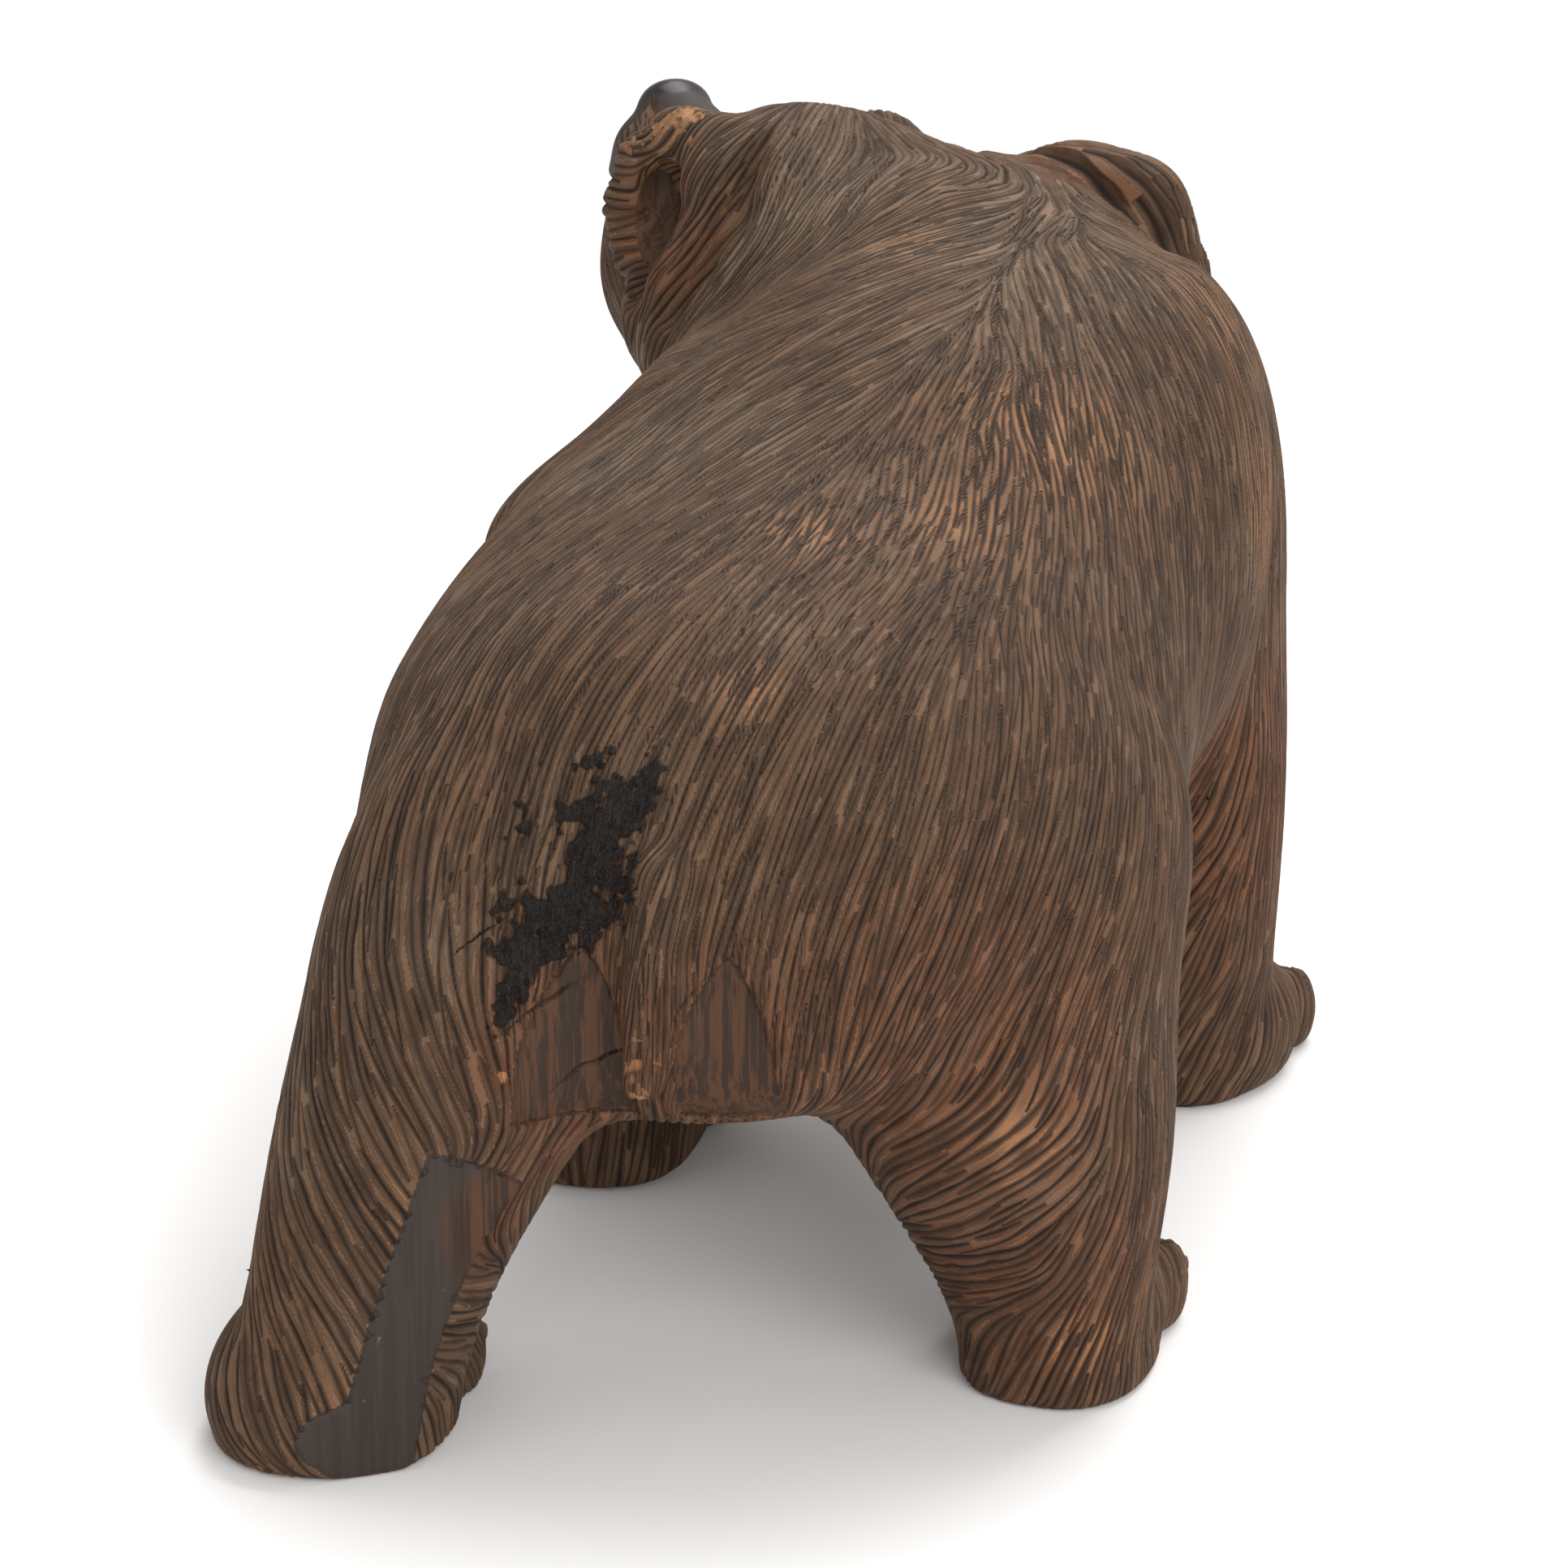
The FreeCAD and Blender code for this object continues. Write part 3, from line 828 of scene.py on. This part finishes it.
def mesh_object(name, points, quads, triangles):
    """An object from millimetre points; faces come from numpy arrays."""
    mesh = bpy.data.meshes.new(name)
    corners = np.concatenate([quads.ravel(), triangles.ravel()]).astype(np.int32)
    sizes = np.concatenate([np.full(len(quads), 4), np.full(len(triangles), 3)]).astype(np.int32)
    mesh.vertices.add(len(points))
    mesh.vertices.foreach_set("co", (points * MM).astype(np.float32).ravel())
    mesh.loops.add(len(corners))
    mesh.loops.foreach_set("vertex_index", corners)
    mesh.polygons.add(len(sizes))
    mesh.polygons.foreach_set("loop_start", np.concatenate([[0], np.cumsum(sizes)[:-1]]).astype(np.int32))
    mesh.update(calc_edges=True)
    obj = bpy.data.objects.new(name, mesh)
    bpy.context.scene.collection.objects.link(obj)
    return obj


def subdivide(obj, levels):
    modifier = obj.modifiers.new("subdivide", "SUBSURF")
    modifier.subdivision_type = "CATMULL_CLARK"
    modifier.levels = levels
    bpy.context.view_layer.objects.active = obj
    obj.select_set(True)
    bpy.ops.object.modifier_apply(modifier=modifier.name)


def vertex_places(obj):
    points = np.empty(len(obj.data.vertices) * 3, np.float32)
    obj.data.vertices.foreach_get("co", points)
    return points.reshape(-1, 3) / MM


def keep(obj, name, values):
    """Stores one number per vertex for the material."""
    attribute = obj.data.attributes.new(name, "FLOAT", "POINT")
    attribute.data.foreach_set("value", np.ascontiguousarray(values, np.float32))


def coarser(field, voxel):
    """The same surface on a coarser grid."""
    low = (field.start + 2) * field.voxel
    high = (field.start + field.size - 3) * field.voxel
    rough = Field(low, high, voxel)
    along_x, along_y, along_z = grid_axes(rough.start, rough.size, voxel)
    for i, x in enumerate(along_x):
        y, z = np.meshgrid(along_y, along_z, indexing="ij")
        layer = np.stack([np.full(y.shape, x), y, z], -1).reshape(-1, 3)
        rough.values[i] = field.sample(layer).reshape(y.shape)
    return rough


def largest_piece(points, quads, triangles):
    """Leaves out any closed bubble inside the wood."""
    faces = np.concatenate([quads, triangles[:, [0, 1, 2, 0]]]).astype(np.int64)
    edges = np.concatenate([faces[:, [0, 1]], faces[:, [1, 2]], faces[:, [2, 3]]])
    label = np.arange(len(points))
    while True:
        lower = label.copy()
        np.minimum.at(lower, edges[:, 0], label[edges[:, 1]])
        np.minimum.at(lower, edges[:, 1], label[edges[:, 0]])
        lower = lower[lower]
        if np.array_equal(lower, label):
            break
        label = lower
    biggest = label == np.argmax(np.bincount(label))
    number = np.cumsum(biggest) - 1
    kept_quads = number[quads[biggest[quads[:, 0]]]]
    kept_triangles = number[triangles[biggest[triangles[:, 0]]]]
    return points[biggest], kept_quads, kept_triangles


def rough_noise(points, cell, rng):
    """Smooth random values from 0 to 1 that change over about cell millimetres."""
    low = np.floor(points.min(0) / cell).astype(int) - 1
    size = np.ceil(points.max(0) / cell).astype(int) + 3 - low
    return interpolate(rng.random(size, np.float32), low, cell, points)


def patch(points, path, rng, cell, raggedness, level):
    """A ragged patch along a path: 1 inside, 0 outside; smaller and more broken up for a
    higher level."""
    nearness = np.full(len(points), -1.0, np.float32)
    for (*start, start_radius), (*end, end_radius) in zip(path, path[1:]):
        rod = Rod(place(*start), place(*end), start_radius * PERCENT, end_radius * PERCENT)
        nearness = np.maximum(nearness, -rod.distance(points) / (max(start_radius, end_radius) * PERCENT))
    noise = 0.6 * rough_noise(points, cell, rng) + 0.4 * rough_noise(points, cell / 3, rng)
    return smooth_step(nearness + raggedness * (2 * noise - 1), level, level + 0.12)


# ---------------------------------------------------------------- the carved mesh

# Spots and the points of a path are (forward, right, up, radius), all in percent.
TAR = ((-56.2, 7.2, 66.4, 4.4), (-58.5, 5.0, 62.0, 5.2), (-61, 1.4, 56, 5.2), (-63.6, -1.0, 50.5, 3.4))
BARE = (   # how broken up the patch is comes first, then its path
    (0.3, (-64.5, 11.6, 43.5, 1.8), (-64.0, 11.6, 38.5, 1.4)),
    (1.15, (-66.4, -1.5, 40.6, 1.0), (-67.7, -2.8, 30.7, 1.0), (-70.7, -7.6, 27, 1.0),
     (-76, -14.3, 6.6, 1.4)),
    (0.6, (-78, -25, 0, 1.4), (-79, -14, 0, 1.6)),
    (0.5, (56, -35, 99.8, 2.0), (57, -29.5, 104.6, 3.0), (56, -23, 102.6, 1.6)),
)
WORN = ((8, 30, 88, 26), (-12, 27, 85, 20), (-22, 14, 84, 14), (45, 37, 90, 16), (40, 44, 72, 20),
        (-49, 17, 77, 8), (58, -28, 104, 14), (35, 5, 98, 12), (-70, -8, 26, 9), (-74, -14, 8, 10),
        (-38, 50, 8, 10), (-48, 44, 34, 12))
DUSTY_SPOTS = ((38, 15, 98, 28), (50, -10, 98, 24), (0, -10, 85, 16))
RED = ((-48, 38, 42, 28), (-40, 44, 15, 20), (45, 40, 35, 26), (-62, 4, 43, 16), (-60, 19, 43, 16),
       (-66, -1, 25, 9), (-61, 3, 33, 10), (52, -28, 92, 12), (67, 16, 97, 13))
NOSE_CENTRE, NOSE_RADIUS = on_head(29.4, 0, 5.4), 5.6


def spot_nearness(points, centre, radius):
    """1 at the middle of a spot, 0 at its radius, less than 0 beyond."""
    return 1 - np.linalg.norm(points - centre, axis=1) / (radius * PERCENT)


def zone(points, spots):
    """Nearness to a set of spots: 1 at a spot's middle, 0 from its radius outward."""
    nearness = np.zeros(len(points), np.float32)
    for *spot, radius in spots:
        nearness = np.maximum(nearness, spot_nearness(points, place(*spot), radius))
    return np.clip(nearness, 0, 1)


BASE_SPACING = 1.6             # vertex spacing before subdivision
FULL_DETAIL = {"levels": 2, "seeds": 150000}
OPEN_REACH = 7.0               # how far out open air is looked for, to find the recesses whose crests get painted shade


def smooth_bear(field, levels):
    """The carving's surface as an even fine mesh, with the place and normal of every vertex."""
    points, triangles, quads = coarser(field, BASE_SPACING).to_mesh()
    points, quads, triangles = largest_piece(points, quads, triangles)
    # The faces go in turned round, and back again once the vertices have their final order.
    bear = mesh_object("bear_wood", points, quads[:, ::-1], triangles[:, ::-1])
    subdivide(bear, levels)
    bear.data.flip_normals()
    points = field.settle(vertex_places(bear))
    return bear, points, field.slope(points)


def carved_bear(field):
    """The finished carving: fur, cracks and tar cut into or raised on the mesh."""
    rng = np.random.default_rng(SEED)
    detail = FULL_DETAIL
    bear, points, normals = smooth_bear(field, detail["levels"])
    seeds = points[rng.choice(len(points), detail["seeds"], replace=False)].astype(float)
    kept = lay_gouges(field, Flow(field), seeds, rng)
    depth, facts = cut_gouges(points, gouge_samples(kept, rng))
    crack, _ = cut_gouges(points, crack_samples(field, rng))
    tar = patch(points, TAR, rng, 4.0, 1.5, 0.2)
    bare = np.max([patch(points, path, rng, 3.0, 1.6, level) for level, *path in BARE], axis=0)
    raised = tar * (1.5 * rough_noise(points, 1.2, rng) - 0.1)
    depth = np.maximum(depth * (1 - 0.55 * tar) + 0.5 * bare, crack)
    surface = points - normals * (depth - raised)[:, None]
    surface[:, 2] = np.maximum(surface[:, 2], 0)
    bear.data.vertices.foreach_set("co", (surface * MM).astype(np.float32).ravel())
    bear.data.polygons.foreach_set("use_smooth", np.ones(len(bear.data.polygons), bool))
    marks = {
        "along": facts[:, 0], "across": facts[:, 1], "gouge": facts[:, 2] * GOLDEN % 1,
        # openness round each vertex: crests in recesses are painted darker from it, as painted shade
        "clearance": field.sample(points + normals * OPEN_REACH) / OPEN_REACH,
        "smooth": in_smooth_place(points), "crack": crack, "tar": tar, "bare": bare,
        "worn": zone(points, WORN), "red": zone(points, RED),
        "dusty": zone(points, DUSTY_SPOTS),
        "nose": np.clip(spot_nearness(points, NOSE_CENTRE, NOSE_RADIUS), 0, 1),
    }
    for name, values in marks.items():
        keep(bear, name, values)
    bear.data.update()
    return bear


# ---------------------------------------------------------------- materials

def linear(red, green, blue):
    """A linear colour from the 0-255 values an eye would name."""
    def one(v):
        v /= 255
        return v / 12.92 if v <= 0.04045 else ((v + 0.055) / 1.055) ** 2.4
    return one(red), one(green), one(blue), 1.0


class Nodes:
    """Short calls that add nodes to a material and wire them up."""

    def __init__(self, name):
        self.material = bpy.data.materials.new(name)
        self.material.use_nodes = True
        self.tree = self.material.node_tree
        self.shader = self.tree.nodes["Principled BSDF"]

    def put(self, socket, value):
        if isinstance(value, bpy.types.NodeSocket):
            self.tree.links.new(value, socket)
        else:
            socket.default_value = value

    def attribute(self, name):
        node = self.tree.nodes.new("ShaderNodeAttribute")
        node.attribute_name = name
        return node.outputs["Fac"]

    def math(self, operation, a, b=0.0):
        node = self.tree.nodes.new("ShaderNodeMath")
        node.operation = operation
        self.put(node.inputs[0], a)
        self.put(node.inputs[1], b)
        return node.outputs[0]

    def times(self, a, b):
        return self.math("MULTIPLY", a, b)

    def plus(self, a, b):
        return self.math("ADD", a, b)

    def larger(self, a, b):
        return self.math("MAXIMUM", a, b)

    def minus(self, a, b):
        return self.math("SUBTRACT", a, b)

    def span(self, value, low, high, start=0.0, end=1.0):
        """Value from low..high mapped smoothly to start..end."""
        node = self.tree.nodes.new("ShaderNodeMapRange")
        node.interpolation_type = "SMOOTHSTEP"
        self.put(node.inputs["Value"], value)
        for name, number in (("From Min", low), ("From Max", high), ("To Min", start), ("To Max", end)):
            self.put(node.inputs[name], number)
        return node.outputs["Result"]

    def mix(self, share, a, b):
        node = self.tree.nodes.new("ShaderNodeMix")
        node.data_type = "RGBA"
        self.put(node.inputs["Factor"], share)
        self.put(node.inputs["A"], a)
        self.put(node.inputs["B"], b)
        return node.outputs["Result"]

    def vector(self, x, y, z):
        node = self.tree.nodes.new("ShaderNodeCombineXYZ")
        for socket, value in zip(node.inputs, (x, y, z)):
            self.put(socket, value)
        return node.outputs[0]

    def position(self, stretch=(1, 1, 1)):
        """Object place in metres, stretched per axis."""
        coordinates = self.tree.nodes.new("ShaderNodeTexCoord")
        mapping = self.tree.nodes.new("ShaderNodeMapping")
        mapping.inputs["Scale"].default_value = stretch
        self.tree.links.new(coordinates.outputs["Object"], mapping.inputs["Vector"])
        return mapping.outputs["Vector"]

    def noise(self, scale, detail=3, vector=None, roughness=0.55):
        node = self.tree.nodes.new("ShaderNodeTexNoise")
        self.put(node.inputs["Scale"], scale)
        node.inputs["Detail"].default_value = detail
        node.inputs["Roughness"].default_value = roughness
        self.tree.links.new(vector or self.position(), node.inputs["Vector"])
        return node.outputs["Fac"]

    def bump(self, height, distance, strength=1.0, normal=None):
        node = self.tree.nodes.new("ShaderNodeBump")
        node.inputs["Distance"].default_value = distance
        node.inputs["Strength"].default_value = strength
        self.put(node.inputs["Height"], height)
        if normal is not None:
            self.put(node.inputs["Normal"], normal)
        return node.outputs["Normal"]


# crest colours: the pale grey one is dust, and also the painted light of open crests; the warm brown one is
# the stain, and also the painted shade of crests in recesses
DUSTY_AND_LIT = linear(121, 99, 79)
WARM = linear(104, 76, 54)
RUST = linear(116, 72, 46)
FACET = linear(76, 48, 28)
# dark colour of groove bottoms and cracks: stain and dirt there, with painted shade in the cuts
GROOVE = linear(30, 20, 14)
TAN = linear(168, 120, 82)
TAR_BLACK = linear(13, 13, 14)
SMOOTHED = linear(54, 45, 40)
GRAIN_DARK = linear(34, 23, 16)
NOSE_BLACK = linear(28, 24, 23)


def gouged_colour(n, across, gouge, streaks, mottling):
    """Dark grooves between dusty, warm or rusty crests, each gouge a little different; grooves are dark as
    stain with painted shade, and crests in recesses take the darker warm colour as painted shade.
    """
    # pale dusty crests in open places and darker warm crests in recesses, the darker ones as painted shade;
    # random tone and the dusty spots add to it
    dust_and_shade = n.plus(n.times(n.attribute("clearance"), 0.5), n.times(n.noise(34, 4), 0.8))
    dust_and_shade = n.plus(dust_and_shade, n.times(n.attribute("dusty"), 0.35))
    ridge = n.mix(n.span(dust_and_shade, 0.82, 1.26), WARM, DUSTY_AND_LIT)
    rusty = n.times(n.span(n.attribute("red"), 0.0, 0.7), n.span(mottling, 0.3, 0.7, 0.3, 0.85))
    ridge = n.mix(rusty, ridge, RUST)
    ridge = n.mix(n.span(gouge, 0.0, 1.0, 0.0, 0.5), ridge, GROOVE)
    ridge = n.mix(n.span(streaks, 0.38, 0.75, 0.0, 0.55), ridge, GROOVE)
    filled = n.plus(n.times(n.math("FRACT", n.times(gouge, 7.3)), 0.45), n.times(streaks, 0.9))
    # groove bottoms painted dark: stain and dirt, with painted shade inside the cut
    groove = n.mix(n.span(filled, 0.45, 1.0, 0.0, 0.5), GROOVE, ridge)
    return n.mix(n.span(across, 0.02, 0.72), groove, ridge)


def flat_colour(n):
    """Wood that was never gouged: long dark grain on grey, or on orange brown in the red places."""
    fine = n.noise(1.0, 5, n.position((1100, 1100, 26)), 0.65)
    broad = n.noise(1.0, 3, n.position((330, 330, 9)))
    grain = n.plus(n.times(fine, 0.6), n.times(broad, 0.4))
    redness = n.span(n.attribute("red"), 0.05, 0.5)
    strength = n.span(redness, 0.0, 1.0, 0.35, 0.8)
    plain = n.mix(redness, SMOOTHED, FACET)
    return n.mix(n.times(n.span(grain, 0.45, 0.55), strength), plain, GRAIN_DARK)


def wear(n, across, along, gouge, streaks, mottling):
    """How far the stain is rubbed off: along some crests, and at chips and corners."""
    strip_luck = n.math("FRACT", n.times(gouge, 13.7))
    chance = n.plus(n.plus(n.attribute("worn"), n.times(strip_luck, 0.5)), n.times(streaks, 0.7))
    rubbed = n.times(n.span(chance, 1.04, 1.4, 0.0, 0.8), n.span(across, 0.55, 0.95))
    rubbed = n.times(rubbed, n.minus(1.0, n.attribute("smooth")))
    bare = n.times(n.attribute("bare"), n.span(mottling, 0.3, 0.6, 0.45, 0.95))
    flecks = n.noise(1.0, 2, n.vector(n.times(along, 0.6), across, n.times(gouge, 173.0)))
    fleck = n.times(n.span(flecks, 0.66, 0.76), n.span(across, 0.45, 0.8, 0, 0.6))
    return n.larger(n.larger(rubbed, bare), fleck)


def carved_wood():
    """Stained wood, matt and dusty, with a dark nose and a tar-like smear."""
    n = Nodes("carved_wood")
    across, along, gouge = n.attribute("across"), n.attribute("along"), n.attribute("gouge")
    streaks = n.noise(1.0, 4, n.vector(n.times(along, 0.22), n.times(across, 2.6), n.times(gouge, 61.0)))
    mottling = n.noise(160, 3)
    smooth, tarred = n.attribute("smooth"), n.attribute("tar")
    nose = n.span(n.attribute("nose"), 0.12, 0.22)
    wood = n.mix(smooth, gouged_colour(n, across, gouge, streaks, mottling), flat_colour(n))
    wood = n.mix(wear(n, across, along, gouge, streaks, mottling), wood, TAN)
    # cracks painted dark: dirt, with painted shade inside them
    wood = n.mix(n.span(n.attribute("crack"), 0.2, 0.8), wood, GROOVE)
    wood = n.mix(nose, wood, NOSE_BLACK)
    wood = n.mix(n.times(tarred, n.span(streaks, 0.3, 0.7, 1.0, 0.75)), wood, TAR_BLACK)
    n.put(n.shader.inputs["Base Color"], wood)
    roughness = n.minus(n.span(across, 0.02, 0.6, 0.95, 0.72), n.times(smooth, 0.14))
    roughness = n.minus(roughness, n.times(n.larger(tarred, nose), 0.3))
    n.put(n.shader.inputs["Roughness"], roughness)
    n.put(n.shader.inputs["Specular IOR Level"], n.span(tarred, 0.0, 1.0, 0.28, 0.22))
    normal = n.bump(streaks, 0.00025, 0.8)
    normal = n.bump(n.noise(2600, 3), 0.00012, 0.5, normal)
    normal = n.bump(n.times(tarred, n.noise(1100, 2)), 0.0012, 1.0, normal)
    n.put(n.shader.inputs["Normal"], normal)
    return n.material


def eye_glass(outward):
    """A dark glass bead with a black pupil in a narrow brown ring."""
    n = Nodes("eye_glass")
    geometry = n.tree.nodes.new("ShaderNodeNewGeometry")
    dot = n.tree.nodes.new("ShaderNodeVectorMath")
    dot.operation = "DOT_PRODUCT"
    n.put(dot.inputs[0], geometry.outputs["Normal"])
    dot.inputs[1].default_value = tuple(outward)
    facing = dot.outputs["Value"]
    rays = n.noise(1.0, 4, n.position((2600, 2600, 600)))
    iris = n.mix(n.span(rays, 0.35, 0.7), linear(48, 26, 14), linear(26, 14, 9))
    glass = n.mix(n.span(facing, 0.55, 0.62), linear(9, 8, 7), iris)
    n.put(n.shader.inputs["Base Color"], n.mix(n.span(facing, 0.86, 0.9), glass, linear(5, 5, 6)))
    n.put(n.shader.inputs["Roughness"], n.span(n.noise(900, 3), 0.3, 0.7, 0.12, 0.22))
    n.shader.inputs["Specular IOR Level"].default_value = 0.15
    return n.material


def pin_steel():
    """Drawn steel wire, dulled in streaks along its length."""
    n = Nodes("pin_steel")
    draw = n.noise(1.0, 4, n.position((3000, 3000, 200)))
    steel = n.mix(n.span(draw, 0.3, 0.7), linear(120, 118, 114), linear(168, 166, 162))
    n.put(n.shader.inputs["Base Color"], steel)
    n.put(n.shader.inputs["Roughness"], n.span(draw, 0.3, 0.7, 0.28, 0.5))
    n.shader.inputs["Metallic"].default_value = 1.0
    n.put(n.shader.inputs["Normal"], n.bump(draw, 0.00005, 0.5))
    return n.material


def dress(node, material):
    """Gives a CAD node that stays in view its finished material."""
    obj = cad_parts[node]
    if not obj.material_slots:
        obj.data.materials.append(material)
    for slot in obj.material_slots:
        slot.material = material


# ---------------------------------------------------------------- studio

def paper_sweep():
    """Pale paper that fades into the white backdrop away from the object."""
    n = Nodes("paper")
    n.shader.inputs["Base Color"].default_value = (0.9, 0.89, 0.88, 1)
    n.shader.inputs["Roughness"].default_value = 0.9
    n.shader.inputs["Specular IOR Level"].default_value = 0.1
    glow = n.tree.nodes.new("ShaderNodeEmission")
    length = n.tree.nodes.new("ShaderNodeVectorMath")
    length.operation = "LENGTH"
    n.put(length.inputs[0], n.position())
    fade = n.tree.nodes.new("ShaderNodeMixShader")
    n.put(fade.inputs["Fac"], n.span(length.outputs["Value"], 0.35, 0.8))
    n.tree.links.new(n.shader.outputs["BSDF"], fade.inputs[1])
    n.tree.links.new(glow.outputs["Emission"], fade.inputs[2])
    n.tree.links.new(fade.outputs["Shader"], n.tree.nodes["Material Output"].inputs["Surface"])
    return n.material


def white_room(strength):
    """A white surround of the given strength that the camera sees as plain white."""
    world = bpy.data.worlds.new("studio")
    bpy.context.scene.world = world
    world.use_nodes = True
    tree = world.node_tree
    seen = tree.nodes.new("ShaderNodeLightPath").outputs["Is Camera Ray"]
    level = tree.nodes.new("ShaderNodeMapRange")
    level.inputs["To Min"].default_value = strength
    level.inputs["To Max"].default_value = 1.0
    tree.links.new(seen, level.inputs["Value"])
    tree.links.new(level.outputs["Result"], tree.nodes["Background"].inputs["Strength"])
    tree.nodes["Background"].inputs["Color"].default_value = (1, 1, 1, 1)


def aimed(name, data, azimuth, elevation, distance):
    """A lamp or camera that looks at the middle of the bear; the angles are in degrees."""
    out = Vector(heading(azimuth, elevation))
    obj = bpy.data.objects.new(name, data)
    obj.location = TARGET + out * distance
    obj.rotation_euler = (-out).to_track_quat("-Z", "Y").to_euler()
    bpy.context.scene.collection.objects.link(obj)
    return obj


def paper_floor(size=6.0):
    mesh = bpy.data.meshes.new("floor")
    corners = [(-size, -size, 0), (size, -size, 0), (size, size, 0), (-size, size, 0)]
    mesh.from_pydata(corners, [], [(0, 1, 2, 3)])
    mesh.materials.append(paper_sweep())
    floor = bpy.data.objects.new("floor", mesh)
    bpy.context.scene.collection.objects.link(floor)


# Soft square lamps: azimuth, elevation, distance in metres and power in watts.
LAMPS = {"key": (350, 62, 1.6, 25), "fill": (222, 26, 1.8, 20)}
LAMP_WIDTH = 1.2
ROOM_STRENGTH = 0.68


def lamps():
    for name, (azimuth, elevation, distance, power) in LAMPS.items():
        data = bpy.data.lights.new(name, "AREA")
        data.shape = "SQUARE"
        data.size = LAMP_WIDTH
        data.energy = power
        aimed(name, data, azimuth, elevation, distance)


TARGET = Vector(place(0, 0, 0) * MM) + Vector((0, 0, 0.0941))
CAMERA_ANGLES = 200, 20        # from behind, a little to the bear's right, looking down
CAMERA_DISTANCE = 1.1203
CAMERA_LENS = 128.1            # millimetres, on a sensor 36 mm wide
CAMERA_SHIFT = 0.0186, -0.0083


def camera():
    data = bpy.data.cameras.new("camera")
    data.sensor_width = 36
    data.lens = CAMERA_LENS
    data.shift_x, data.shift_y = CAMERA_SHIFT
    bpy.context.scene.camera = aimed("camera", data, *CAMERA_ANGLES, CAMERA_DISTANCE)


bear = carved_bear(sculpt())
bear.data.materials.append(carved_wood())
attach(bear, "root")
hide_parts("carved_body")
steel = pin_steel()
for side in ("left", "right"):
    dress(side + "_eye_bead", eye_glass(eye_outward(side)))
    dress(side + "_eye_pin", steel)
paper_floor()
white_room(ROOM_STRENGTH)
lamps()
camera()
bpy.context.scene.view_settings.view_transform = "Standard"
